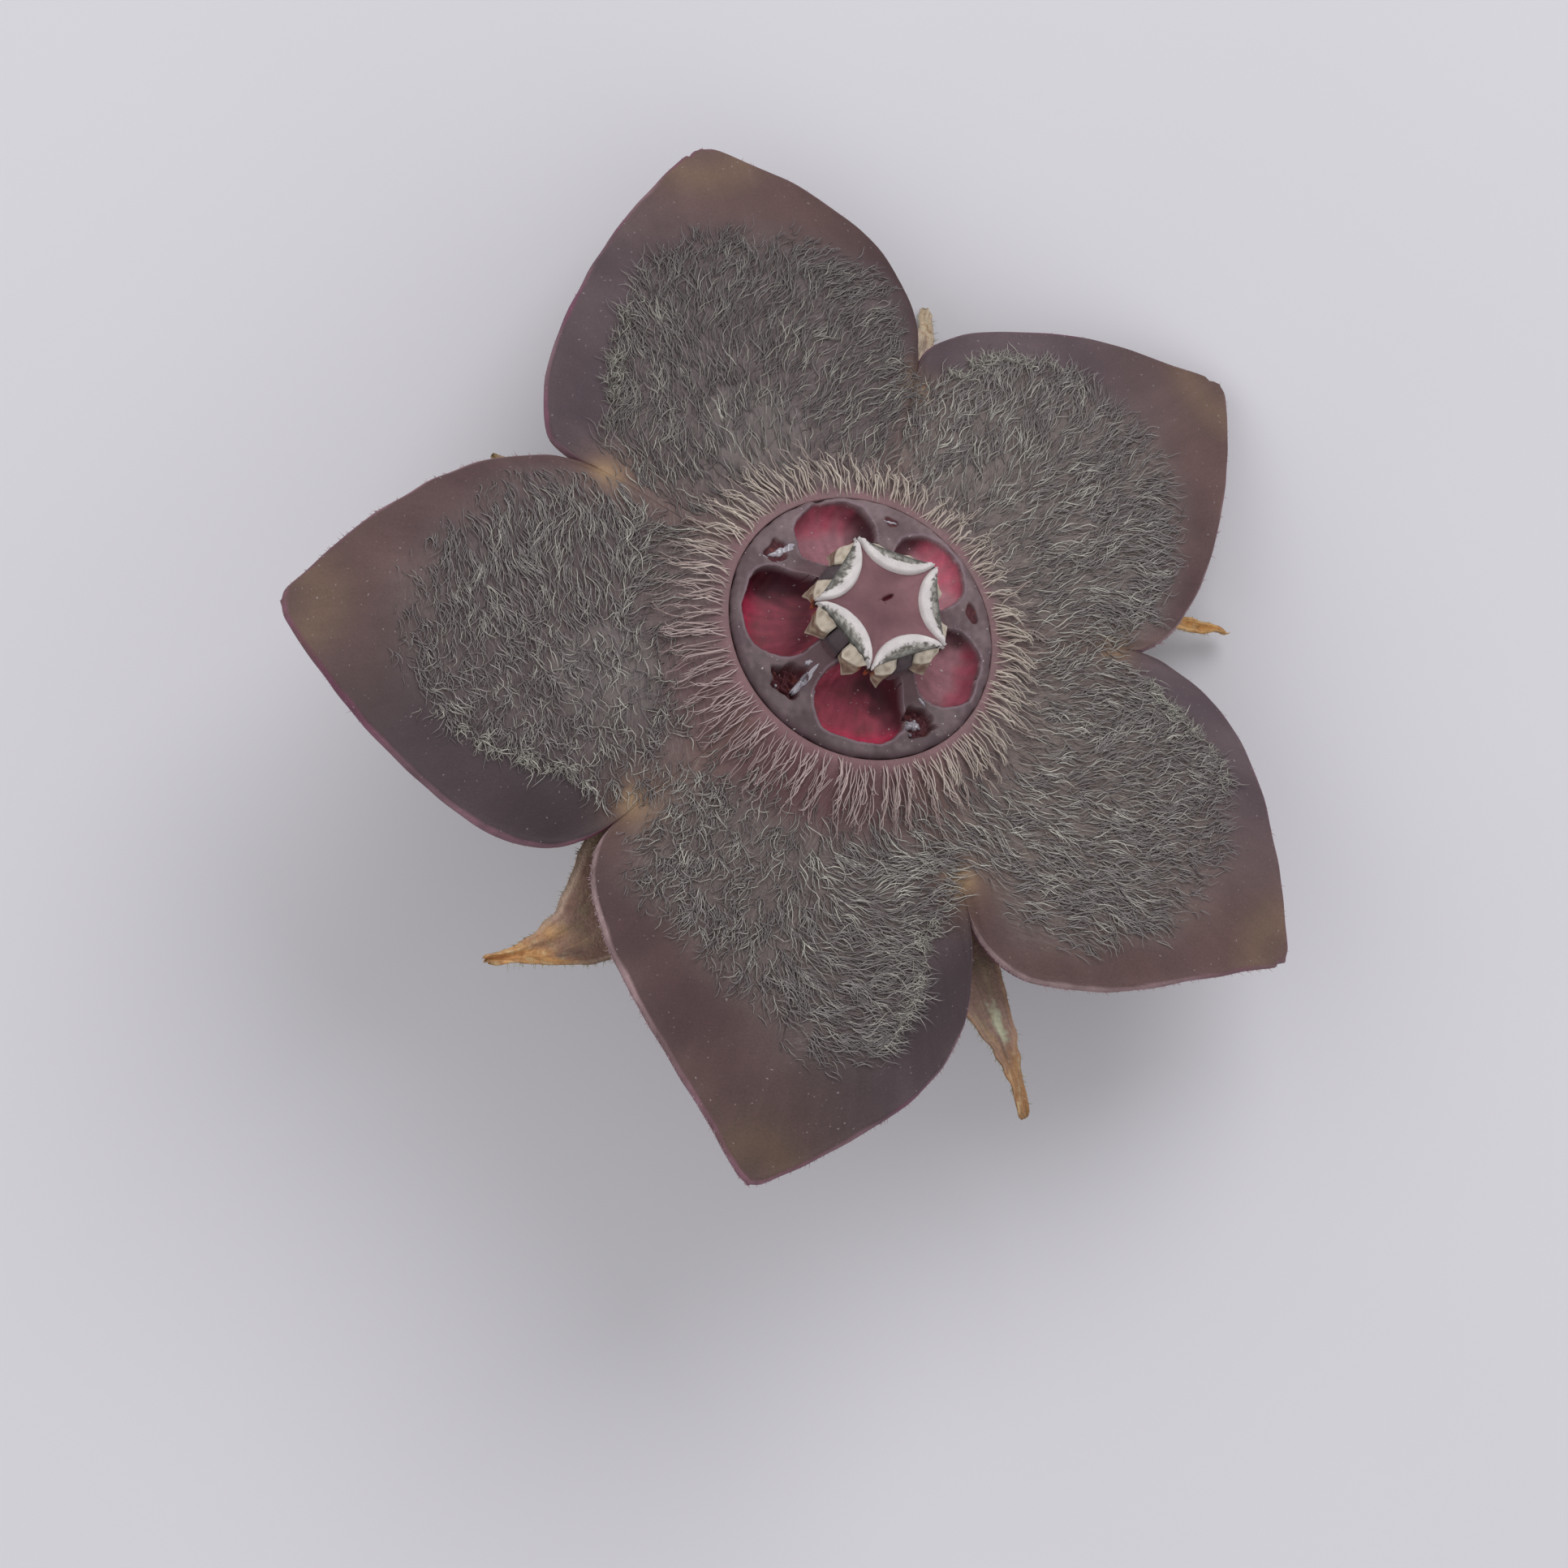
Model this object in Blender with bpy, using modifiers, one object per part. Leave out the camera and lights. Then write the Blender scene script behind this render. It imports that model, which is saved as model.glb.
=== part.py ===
"""Milkweed vine flower, picked with a short stalk and lying face up.

The flower is modelled about its own axis, +Z out of its face and +X the way it leans. It is then leaned over,
turned to its heading and set down on the surface, where it rests on its stalk and on two drooping sepals.
"""
import math

import bmesh
import bpy
from mathutils import Matrix, Vector

MM = 0.001
GAP = 0.3 * MM                      # clearance between neighbouring pieces

# How the picked flower lies
LEAN = math.radians(29)             # from upright to the flower's axis
HEADING = math.radians(45)          # compass direction of the lean
REST_DEPTH = 10.3 * MM              # surface under the middle of the corolla's face

# Corolla
LOBES = (                           # heading from the lean, reach, droop of the tip, and the angles that the
                                    # margins before and after it make with its midline, and how far they run
                                    # straight out of their notches
    (-8.1, 16.7 * MM, 1.25 * MM, 53, 46, 2.5 * MM, 3.3 * MM),
    (54.5, 16.5 * MM, 1.5 * MM, 61, 59, 4.2 * MM, 3.4 * MM),
    (131.8, 16.3 * MM, 1.6 * MM, 51, 62, 2.6 * MM, 3.9 * MM),
    (213.7, 16.0 * MM, 2.1 * MM, 40, 55, 3.1 * MM, 4.8 * MM),
    (284.2, 16.1 * MM, 1.3 * MM, 44, 55, 4.0 * MM, 4.4 * MM),
)
SINUSES = (                         # heading and radius of the notch after each lobe
    (25.5, 9.7 * MM),
    (99, 8.9 * MM),
    (173.5, 8.8 * MM),
    (249, 8.1 * MM),
    (320, 9.2 * MM),
)
COROLLA_THICKNESS = 0.6 * MM
MARGIN_THICKNESS = 0.55              # of a lobe's margin, as a share of that
TIP_HANDLE = 4.2 * MM               # how far a margin keeps that direction
THROAT = 4.8 * MM                   # radius where the lobes begin to fall away
SEAT = 4.3 * MM                     # radius of the sunken seat of the corona
SEAT_DEPTH = 0.5 * MM
RING_HEIGHT = 0.85 * MM             # raised ring round the seat
RING_RADIUS = 4.9 * MM
DROOP_POWER = 1.6
VALLEY = 0.7 * MM                   # fold towards a notch, at its radius
MARGIN_CURL = 0.5 * MM              # roll of the margin towards the back

# Corona
CORONA_RADIUS = 3.95 * MM
CORONA_FOOT = GAP - SEAT_DEPTH
RIM_HEIGHT = 1.2 * MM
HUB_RADIUS = 1.1 * MM
STAR_HEADING = -7                   # of the star's first tip
CUP_HEADINGS = (-4, 58, 129, 218, 291)
CUP_RADIUS = 1.06 * MM
CUP_DEPTH = 0.95 * MM
CUP_DISTANCE = 2.25 * MM
PITS = (                            # heading, distance and radius of the pits between the cups
    (26, 3.2 * MM, 0.2 * MM),
    (93, 3.15 * MM, 0.3 * MM),
    (173, 2.95 * MM, 0.5 * MM),
    (254, 3.1 * MM, 0.42 * MM),
    (324, 3.2 * MM, 0.25 * MM),
)

# Column, style head and anthers
COLUMN_RADIUS = 0.8 * MM
HEAD_TOP = 3.0 * MM
HEAD_THICKNESS = 0.45 * MM
HEAD_TIP = 2.0 * MM                 # radius of the star's tips
HEAD_SAG = 0.25 * MM                # how far its sides curve in
ANTHER_HALF_SPAN = 24               # degrees to each side
ANTHER_FOOT_RADIUS = 2.05 * MM
ANTHER_THICKNESS = 0.28 * MM
APPENDAGE_REACH = 0.75 * MM         # how far its white tip lies over the head

# Calyx and stalk
SEPALS = (                          # heading, reach, depth of the tip under the corolla's face, how far the
                                    # dried tip bends aside, and half width
    (22, 13.8 * MM, 4.5 * MM, 0.3 * MM, 1.5 * MM),
    (99, 11.3 * MM, 3.5 * MM, 0.4 * MM, 2.2 * MM),
    (183.5, 13.4 * MM, 4.2 * MM, -1.7 * MM, 5.0 * MM),
    (251.5, 14.0 * MM, 4.2 * MM, 0.1 * MM, 2.7 * MM),
    (331, 14.2 * MM, 4.6 * MM, -0.95 * MM, 1.3 * MM),
)
SEPAL_TIP_WIDTH = 0.2 * MM          # half of it
SEPAL_THICKNESS = 0.45 * MM
RECEPTACLE_RADIUS = 2.1 * MM
PEDICEL_RADIUS = 0.9 * MM
PEDICEL_RUN = 8.5 * MM              # from the flower's middle back to the cut end, along the surface

# Colours and surfaces: base colour, roughness
SKIN = {
    "pedicel": ((0.115, 0.105, 0.045), 0.7),
    "sepal": ((0.205, 0.125, 0.09), 0.75),
    "corolla": ((0.095, 0.062, 0.062), 0.55),
    "corona": ((0.105, 0.062, 0.075), 0.35),
    "column": ((0.10, 0.035, 0.045), 0.5),
    "anther": ((0.62, 0.59, 0.56), 0.5),
    "style_head": ((0.175, 0.088, 0.103), 0.45),
    "corpusculum": ((0.08, 0.025, 0.012), 0.3),
}


def polar(heading, radius, height=0.0):
    """Point at a heading in degrees and a radius from the flower's axis."""
    angle = math.radians(heading)
    return Vector((radius * math.cos(angle), radius * math.sin(angle), height))


def smooth(low, high, value):
    """0 below low, 1 above high, and an even S curve between."""
    t = min(1.0, max(0.0, (value - low) / (high - low)))
    return t * t * (3 - 2 * t)


def bezier(start, handle_1, handle_2, end, t):
    """Point at t of a cubic curve."""
    u = 1 - t
    return u**3 * start + 3 * u * u * t * handle_1 + 3 * u * t * t * handle_2 + t**3 * end


def new_collection(name):
    collection = bpy.data.collections.new(name)
    bpy.context.scene.collection.children.link(collection)
    return collection


def skin(piece, kind):
    """Gives a piece the material of its kind, made on first use."""
    material = bpy.data.materials.get(kind)
    if material is None:
        colour, roughness = SKIN[kind]
        material = bpy.data.materials.new(kind)
        material.use_nodes = True
        shader = material.node_tree.nodes["Principled BSDF"]
        shader.inputs["Base Color"].default_value = (*colour, 1)
        shader.inputs["Roughness"].default_value = roughness
        shader.inputs["Metallic"].default_value = 0.0
    piece.data.materials.append(material)


def add_part(name, data, kind, flower, collection):
    """Adds one sub-part to the flower."""
    part = bpy.data.objects.new(name, data)
    collection.objects.link(part)
    part.parent = flower
    skin(part, kind)
    return part


def mesh_from(name, sheet, crease=50):
    """Turns a bmesh into a smoothly shaded mesh and frees it."""
    mesh = bpy.data.meshes.new(name)
    sheet.to_mesh(mesh)
    sheet.free()
    mesh.shade_smooth()
    mesh.set_sharp_from_angle(angle=math.radians(crease))
    return mesh


def thicken(part, thickness, group=None):
    """Gives an open sheet its thickness, towards its back and as much of it as the group says."""
    shell = part.modifiers.new("thickness", "SOLIDIFY")
    shell.thickness = thickness
    shell.offset = -1
    if group:
        shell.vertex_group = group.name


def spun_disc(rings, spokes):
    """Flat disc of radius 1, spun from a straight row of points."""
    disc = bmesh.new()
    row = [disc.verts.new((i / rings, 0, 0)) for i in range(rings + 1)]
    steps = [disc.edges.new(pair) for pair in zip(row, row[1:])]
    bmesh.ops.spin(disc, geom=row + steps, cent=(0, 0, 0), axis=(0, 0, 1), steps=spokes, angle=math.tau)
    bmesh.ops.remove_doubles(disc, verts=disc.verts, dist=1e-4)
    return disc


def sector_of(heading):
    """Lobe index, side (1 towards the next notch) and share of the way from the lobe's midline to the notch."""
    for index, (lobe, *_) in enumerate(LOBES):
        for side, notch in ((1, SINUSES[index][0]), (-1, SINUSES[index - 1][0])):
            span = side * ((notch - lobe + 180) % 360 - 180)
            offset = side * ((heading - lobe + 180) % 360 - 180)
            if 0 <= offset <= span:
                return index, side, offset / span
    raise ValueError(heading)


def corolla_height(x, y):
    """Height of the corolla's face at a point of its plane."""
    radius = math.hypot(x, y)
    index, side, share = sector_of(math.degrees(math.atan2(y, x)) % 360)
    _, reach, droop, *_ = LOBES[index]
    beside = LOBES[(index + side) % 5]
    shared_droop = (droop + beside[2]) / 2
    fall = max(0.0, (radius - THROAT) / (reach - THROAT)) ** DROOP_POWER
    fold = max(0.0, (radius - THROAT) / (SINUSES[0][1] - THROAT)) ** DROOP_POWER
    height = -fall * (droop + (shared_droop - droop) * share**2)
    height -= VALLEY * min(fold, 2.2) * share**3
    height -= SEAT_DEPTH * (1 - smooth(SEAT - 0.5 * MM, SEAT + 0.1 * MM, radius))
    height += RING_HEIGHT * math.exp(-(((radius - RING_RADIUS) / (0.45 * MM)) ** 2))
    return height


def lobe_margin(index, side, share):
    """Point of a lobe's margin, from its tip (share 0) to the notch beside it (share 1)."""
    heading, reach, _, angle_before, angle_after, straight_before, straight_after = LOBES[index]
    half_angle, straight = (angle_after, straight_after) if side > 0 else (angle_before, straight_before)
    notch_heading, notch_radius = SINUSES[index if side > 0 else index - 1]
    tip = polar(heading, reach)
    notch = polar(notch_heading, notch_radius)
    tip_handle = tip + polar(heading + side * (180 - half_angle), TIP_HANDLE)
    notch_handle = notch + polar(notch_heading, straight)
    return bezier(tip, tip_handle, notch_handle, notch, share)


def corolla_point(share_out, turn):
    """Point of the corolla's face for a place on the unit disc, given by its radius and its turn in fifths of
    a circle, and how far out on the lobes it is: 0 up to the throat and 1 on the margin."""
    index = round(turn) % 5
    offset = 2 * (turn - round(turn))
    side = 1 if offset >= 0 else -1
    share = abs(offset)
    lobe = LOBES[index][0]
    notch = SINUSES[index if side > 0 else index - 1][0]
    heading = lobe + share * ((notch - lobe + 180) % 360 - 180)
    inner_share = 0.4
    if share_out <= inner_share:
        spot = polar(heading, THROAT * share_out / inner_share)
        out = 0.0
    else:
        out = (share_out - inner_share) / (1 - inner_share)
        spot = polar(heading, THROAT).lerp(lobe_margin(index, side, share), out)
    roll = MARGIN_CURL * smooth(0.5, 1.0, out) ** 2 * (1 - share**4)
    spot.z = corolla_height(spot.x, spot.y) - roll
    return spot, out


def make_corolla(flower, collection, rings=12, spokes=70):
    """Five lobes grown together, as one sheet."""
    sheet = spun_disc(rings, spokes)
    outwards = []
    for vert in sheet.verts:
        turn = (math.atan2(vert.co.y, vert.co.x) % math.tau) / math.tau * 5
        vert.co, out = corolla_point(vert.co.length, turn)
        outwards.append(out)
    bmesh.ops.recalc_face_normals(sheet, faces=sheet.faces)
    part = add_part("corolla", mesh_from("corolla", sheet), "corolla", flower, collection)
    flesh = part.vertex_groups.new(name="flesh")
    for number, out in enumerate(outwards):
        flesh.add([number], 1 - (1 - MARGIN_THICKNESS) * smooth(0.4, 1.0, out), "REPLACE")
    thicken(part, COROLLA_THICKNESS, flesh)
    return part


def add_cutter(name, centre, radii, flower, collection):
    """Ellipsoid that hollows the corona."""
    ball = bmesh.new()
    bmesh.ops.create_uvsphere(ball, u_segments=16, v_segments=10, radius=1)
    bmesh.ops.scale(ball, vec=radii, verts=ball.verts)
    cutter = bpy.data.objects.new(name, mesh_from(name, ball))
    collection.objects.link(cutter)
    cutter.parent = flower
    cutter.location = centre
    cutter.hide_render = True
    cutter.display_type = "WIRE"
    return cutter


def hollow(part, cutter):
    cut = part.modifiers.new(cutter.name, "BOOLEAN")
    cut.operation = "DIFFERENCE"
    cut.object = cutter


def make_corona(flower, collection, cutters):
    """Fleshy turned disc with five large cups, and a small pit between each two."""
    profile = (
        (0, RIM_HEIGHT + 0.1 * MM),
        (HUB_RADIUS - 0.2 * MM, RIM_HEIGHT + 0.1 * MM),
        (HUB_RADIUS + 0.2 * MM, RIM_HEIGHT),
        (CORONA_RADIUS - 0.35 * MM, RIM_HEIGHT),
        (CORONA_RADIUS - 0.1 * MM, RIM_HEIGHT - 0.1 * MM),
        (CORONA_RADIUS, RIM_HEIGHT - 0.35 * MM),
        (CORONA_RADIUS - 0.1 * MM, CORONA_FOOT + 0.5 * MM),
        (CORONA_RADIUS - 0.5 * MM, CORONA_FOOT),
        (0, CORONA_FOOT),
    )
    outline = bmesh.new()
    corners = [outline.verts.new((x, 0, z)) for x, z in profile]
    for pair in zip(corners, corners[1:]):
        outline.edges.new(pair)
    part = add_part("corona", mesh_from("corona", outline), "corona", flower, collection)
    turn = part.modifiers.new("turned", "SCREW")
    turn.steps = 48
    turn.render_steps = 48
    turn.use_merge_vertices = True
    turn.merge_threshold = 1e-6
    turn.use_smooth_shade = True
    for index, heading in enumerate(CUP_HEADINGS):
        centre = polar(heading, CUP_DISTANCE, RIM_HEIGHT + 0.12 * MM)
        radii = (CUP_RADIUS, CUP_RADIUS, CUP_DEPTH)
        hollow(part, add_cutter(f"cup_{index + 1}", centre, radii, flower, cutters))
    for index, (heading, distance, radius) in enumerate(PITS):
        centre = polar(heading, distance, RIM_HEIGHT + 0.04 * MM)
        hollow(part, add_cutter(f"pit_{index + 1}", centre, (radius, radius, radius), flower, cutters))
    return part


def make_column(flower, collection):
    """Short column between the corona's hub and the style head."""
    foot = RIM_HEIGHT + 0.1 * MM + GAP
    top = HEAD_TOP - HEAD_THICKNESS - GAP
    post = bmesh.new()
    bmesh.ops.create_cone(
        post, cap_ends=True, segments=32, radius1=COLUMN_RADIUS, radius2=COLUMN_RADIUS * 0.9, depth=top - foot
    )
    part = add_part("column", mesh_from("column", post), "column", flower, collection)
    part.location.z = (foot + top) / 2
    return part


def head_radius(offset, sag):
    """Radius of the star's side at an angle from its middle, in degrees. Both its tips are at 36."""
    middle = HEAD_TIP * math.cos(math.radians(36)) - sag
    return middle + (HEAD_TIP - middle) * (abs(offset) / 36) ** 1.8


def make_style_head(flower, collection):
    """Five-pointed plate with sides that curve in."""
    plate = bpy.data.curves.new("style_head", "CURVE")
    plate.dimensions = "2D"
    plate.fill_mode = "BOTH"
    plate.extrude = HEAD_THICKNESS / 2
    side_steps = 12
    outline = plate.splines.new("POLY")
    outline.points.add(5 * side_steps - 1)
    for number, point in enumerate(outline.points):
        offset = 72 * (number % side_steps) / side_steps - 36
        heading = STAR_HEADING + 36 + 72 * (number // side_steps) + offset
        point.co = (*polar(heading, head_radius(offset, HEAD_SAG)).xy, 0, 1)
    outline.use_cyclic_u = True
    part = add_part("style_head", plate, "style_head", flower, collection)
    part.location.z = HEAD_TOP - HEAD_THICKNESS / 2
    return part


def anther_point(across, along):
    """Point of an anther's sheet about its own middle: across from end to end (-1 to 1), along from the
    white tip over the head (0) to the foot on the corona (1)."""
    offset = across * ANTHER_HALF_SPAN
    shoulder = head_radius(offset, HEAD_SAG) + GAP + ANTHER_THICKNESS
    over_head = APPENDAGE_REACH * (1 - abs(across) ** 2.5) + 0.2 * MM
    top = HEAD_TOP + GAP + ANTHER_THICKNESS
    foot = RIM_HEIGHT + GAP
    profile = (
        Vector((shoulder - over_head, 0, top)),
        Vector((shoulder - 0.15 * MM, 0, top)),
        Vector((shoulder + 0.08 * MM, 0, top - 0.25 * MM)),
        Vector((ANTHER_FOOT_RADIUS + 0.1 * MM, 0, foot)),
    )
    place = along * 3
    step = min(2, int(place))
    spot = profile[step].lerp(profile[step + 1], place - step)
    return polar(offset, spot.x, spot.z)


def make_anther(index, flower, collection):
    """Anther beside the style head: its tip folded over the head, its back down to the corona."""
    sheet = bmesh.new()
    bmesh.ops.create_grid(sheet, x_segments=8, y_segments=6, size=1)
    for vert in sheet.verts:
        vert.co = anther_point(vert.co.x, (vert.co.y + 1) / 2)
    bmesh.ops.recalc_face_normals(sheet, faces=sheet.faces)
    name = f"anther_{index + 1}"
    part = add_part(name, mesh_from(name, sheet), "anther", flower, collection)
    part.rotation_euler.z = math.radians(STAR_HEADING + 36 + 72 * index)
    thicken(part, ANTHER_THICKNESS)
    return part


def make_corpusculum(index, flower, collection):
    """Small hard clip at a tip of the star, between two anthers."""
    seed = bmesh.new()
    bmesh.ops.create_uvsphere(seed, u_segments=12, v_segments=8, radius=1)
    bmesh.ops.scale(seed, vec=(0.13 * MM, 0.13 * MM, 0.25 * MM), verts=seed.verts)
    name = f"corpusculum_{index + 1}"
    part = add_part(name, mesh_from(name, seed), "corpusculum", flower, collection)
    part.location = polar(STAR_HEADING + 72 * index, HEAD_TIP + GAP + 0.13 * MM, HEAD_TOP - HEAD_THICKNESS / 2)
    return part


def sepal_point(sepal, across, along):
    """Point of a sepal's face: across from margin to margin (-1 to 1), along from its base (0) to its tip (1)."""
    heading, reach, depth, sway, width = sepal
    base_radius = RECEPTACLE_RADIUS + GAP
    base_depth = SEAT_DEPTH + COROLLA_THICKNESS + GAP + 0.1 * MM
    radius = base_radius + (reach - base_radius) * along
    half_width = width * (0.42 + 1.5 * along) * (1 - along) ** 1.5 + SEPAL_TIP_WIDTH * along
    drop = base_depth + (depth - base_depth) * along**1.5
    aside = sway * max(0.0, (along - 0.76) / 0.24) ** 1.3
    keel = 0.35 * MM * (1 - abs(across)) * (1 - along)
    spot = polar(heading, radius, -drop - keel)
    return spot + polar(heading + 90, across * half_width + aside)


def make_sepal(index, flower, collection):
    """Narrow leaf-like sepal behind a notch of the corolla."""
    sheet = bmesh.new()
    bmesh.ops.create_grid(sheet, x_segments=6, y_segments=14, size=1)
    for vert in sheet.verts:
        along = (vert.co.y + 1) / 2
        vert.co = sepal_point(SEPALS[index], vert.co.x, min(along, 0.985))
    bmesh.ops.recalc_face_normals(sheet, faces=sheet.faces)
    name = f"sepal_{index + 1}"
    part = add_part(name, mesh_from(name, sheet), "sepal", flower, collection)
    thicken(part, SEPAL_THICKNESS)
    return part


def make_pedicel(flower, collection):
    """Stalk from its swollen top behind the corolla, bent back to lie along the surface to its cut end."""
    upright = Matrix.Rotation(-LEAN, 3, "Y")
    top = Vector((0, 0, -SEAT_DEPTH - COROLLA_THICKNESS - GAP))
    end = upright @ Vector((-PEDICEL_RUN, 0, PEDICEL_RADIUS - REST_DEPTH))
    top_handle = top + Vector((0, 0, -6.5 * MM))
    end_handle = end + upright @ Vector((4.5 * MM, 0, 0))
    stalk = bpy.data.curves.new("pedicel", "CURVE")
    stalk.dimensions = "3D"
    stalk.use_fill_caps = True
    stalk.bevel_depth = PEDICEL_RADIUS
    stalk.bevel_resolution = 3
    rings = 16
    line = stalk.splines.new("POLY")
    line.points.add(rings)
    for number, point in enumerate(line.points):
        t = number / rings
        point.co = (*bezier(top, top_handle, end_handle, end, t), 1)
        swelling = (RECEPTACLE_RADIUS / PEDICEL_RADIUS - 1) * (1 - smooth(0.0, 0.16, t))
        point.radius = 1 + swelling
    return add_part("pedicel", stalk, "pedicel", flower, collection)


def set_down(flower, parts):
    """Leans the flower and stands it on the surface, its box centred on the origin."""
    lean = Matrix.Rotation(HEADING, 4, "Z") @ Matrix.Rotation(LEAN, 4, "Y")
    flower.matrix_world = lean
    bpy.context.view_layer.update()
    graph = bpy.context.evaluated_depsgraph_get()
    corners = []
    for part in parts:
        shape = part.evaluated_get(graph)
        mesh = shape.to_mesh()
        corners += [part.matrix_world @ vert.co for vert in mesh.vertices]
        shape.to_mesh_clear()
    low = Vector([min(corner[axis] for corner in corners) for axis in range(3)])
    high = Vector([max(corner[axis] for corner in corners) for axis in range(3)])
    middle = (low + high) / 2
    flower.matrix_world = Matrix.Translation((-middle.x, -middle.y, -low.z)) @ lean


def build():
    for thing in list(bpy.data.objects):
        bpy.data.objects.remove(thing)
    collection = new_collection("milkweed_vine_flower")
    cutters = new_collection("cutters")
    flower = bpy.data.objects.new("flower", None)
    collection.objects.link(flower)
    parts = [
        make_pedicel(flower, collection),
        make_corolla(flower, collection),
        make_corona(flower, collection, cutters),
        make_column(flower, collection),
        make_style_head(flower, collection),
    ]
    for index in range(5):
        parts.append(make_sepal(index, flower, collection))
        parts.append(make_anther(index, flower, collection))
        parts.append(make_corpusculum(index, flower, collection))
    set_down(flower, parts)


build()
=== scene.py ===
"""Looks of a picked milkweed vine flower: dark woolly lobes, a fleshy ring of crimson cups, a raised star with
white anther tips, dried sepals and a short stalk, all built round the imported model."""
import math

import bpy
import numpy as np
from mathutils import Matrix, Vector
from mathutils.bvhtree import BVHTree


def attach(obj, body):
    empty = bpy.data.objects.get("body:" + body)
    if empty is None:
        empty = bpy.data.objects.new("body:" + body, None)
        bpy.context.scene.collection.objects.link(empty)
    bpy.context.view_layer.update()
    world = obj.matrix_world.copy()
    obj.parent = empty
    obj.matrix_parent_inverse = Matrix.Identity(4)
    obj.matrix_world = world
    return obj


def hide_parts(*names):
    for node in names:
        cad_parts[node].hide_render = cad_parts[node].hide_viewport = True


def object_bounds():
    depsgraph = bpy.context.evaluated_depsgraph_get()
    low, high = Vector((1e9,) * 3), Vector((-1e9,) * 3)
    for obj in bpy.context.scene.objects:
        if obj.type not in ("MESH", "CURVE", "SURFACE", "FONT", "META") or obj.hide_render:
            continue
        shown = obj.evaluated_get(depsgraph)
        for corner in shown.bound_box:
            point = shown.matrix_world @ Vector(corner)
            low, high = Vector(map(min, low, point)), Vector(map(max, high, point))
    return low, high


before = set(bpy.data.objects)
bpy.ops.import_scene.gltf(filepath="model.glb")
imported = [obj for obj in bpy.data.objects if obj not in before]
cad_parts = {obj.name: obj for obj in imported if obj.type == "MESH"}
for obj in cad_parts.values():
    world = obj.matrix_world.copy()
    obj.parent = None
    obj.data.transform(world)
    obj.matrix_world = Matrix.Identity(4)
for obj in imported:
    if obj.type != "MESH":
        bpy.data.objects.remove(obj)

CAD_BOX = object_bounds()
RNG = np.random.default_rng(29)
MM = 0.001               # the flower is modelled in millimetres and placed in metres

# How the flower lies: its own frame has +Z out of its face and +X the way it leans
LEAN = math.radians(29)
HEADING = math.radians(45)
CLEARANCE = 0.01         # what rests on the floor stays this far above it

# Corolla, one row a lobe: heading, reach, droop of the tip, the margins' angles before and after the tip,
# and how far the margins before and after it run straight out of their notches
LOBES = np.array((
    (-8.1, 16.7, 1.25, 53, 46, 2.5, 3.3),
    (54.5, 16.5, 1.5, 61, 59, 4.2, 3.4),
    (131.8, 16.3, 1.6, 51, 62, 2.6, 3.9),
    (213.7, 16.0, 2.1, 40, 55, 3.1, 4.8),
    (284.2, 16.1, 1.3, 44, 55, 4.0, 4.4),
))
NOTCHES = np.array(((25.5, 9.7), (99, 8.9), (173.5, 8.8), (249, 8.1), (320, 9.2)))   # after each lobe
DOMES = ((66, 6.6, 1.7), (146, 7.4, 1.6))      # low swellings of two lobes: heading, radius, size
DOME_HEIGHT = 0.3
NICKS = np.array((0.03, 0.035, 0.0, 0.0, -0.02))      # small nick by a lobe's tip: margin share, signed by side
COROLLA_THICKNESS = 0.6
MARGIN_THICKNESS = 0.33
TIP_HANDLE = 4.2
THROAT = 4.8
SEAT_DEPTH = 0.5
SEAT_RADIUS = 3.985
DROOP_POWER = 1.6
VALLEY = 0.7
MARGIN_CURL = 0.5
MARGIN_LAP = 0.16        # how far a margin lies over or under its neighbour by the notch
BEAD = 0.10              # width of the rounded coloured rim
THINNEST = 0.004
NOTCH_SPOT = 0.6         # how far inside each notch its tan spot lies
COLLAR_HEIGHT = 1.1      # raised ring of skin round the corona
LOWER_LEFT = 200         # heading of the flower's side that is lower left in the photo

# Wool of each lobe: which way it lies from the lobe's heading, in degrees, and how curly it is,
# on the half before the midline and on the half after it
WOOL = np.array(((-20, 22, 0.3, 0.3), (-62, -8, 0.3, 0.4), (94, 100, 0.15, 0.9), (-20, 104, 0.9, 0.3),
                 (14, 46, 0.35, 0.4)))
# How light each lobe is painted, as light and shade: its half before the midline, its half after it, its tip and
# its wool
TONES = np.array(((1.05, 1.22, 1.0, 1.18), (0.78, 1.08, 1.15, 0.96), (1.0, 0.72, 0.98, 1.1),
                  (0.9, 0.82, 0.72, 1.1), (0.98, 1.25, 1.05, 1.18)))
# Bare skin of each lobe: beside the notch and by the tip on the half before the midline, the same on
# the half after it, which its neighbour covered in the bud, and at the tip
BARE = np.array(((0.0, 2.5, 1.45, 1.9, 3.7), (0.35, 2.45, 1.7, 1.25, 3.0), (0.25, 1.85, 1.9, 1.55, 2.9),
                 (0.4, 3.0, 1.95, 1.6, 3.2), (0.75, 1.4, 1.7, 1.6, 3.3)))
WOOL_SKIN = ("7a706d", "625759", "5d5153", "625756", "756964")       # of each lobe, between the hairs
DOWN = np.array((1.0, 0.4, 0.4, 0.6, 1.0))     # how much fine down shows between each lobe's longer hairs
DOWN_COLOUR = "857b76"
HAIR_SIDES = 3
HAIR_RADIUS = 0.018
# Coats of a lobe: hairs, knots of each, greatest length and height, dull and bright colour, and how rare
# bright hairs are
COATS = ((1400, 4, 1.0, 0.07, "6a6060", "807875", 1.0), (2800, 6, 1.3, 0.17, "7a7374", "cbc9bf", 2.4))
FRINGE_TRIES = 9000      # places tried for the hairs of a lobe's fringe
EDGE_HAIRS = (110, 60, 130, 420, 260)          # short hairs on each lobe's edge

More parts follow.
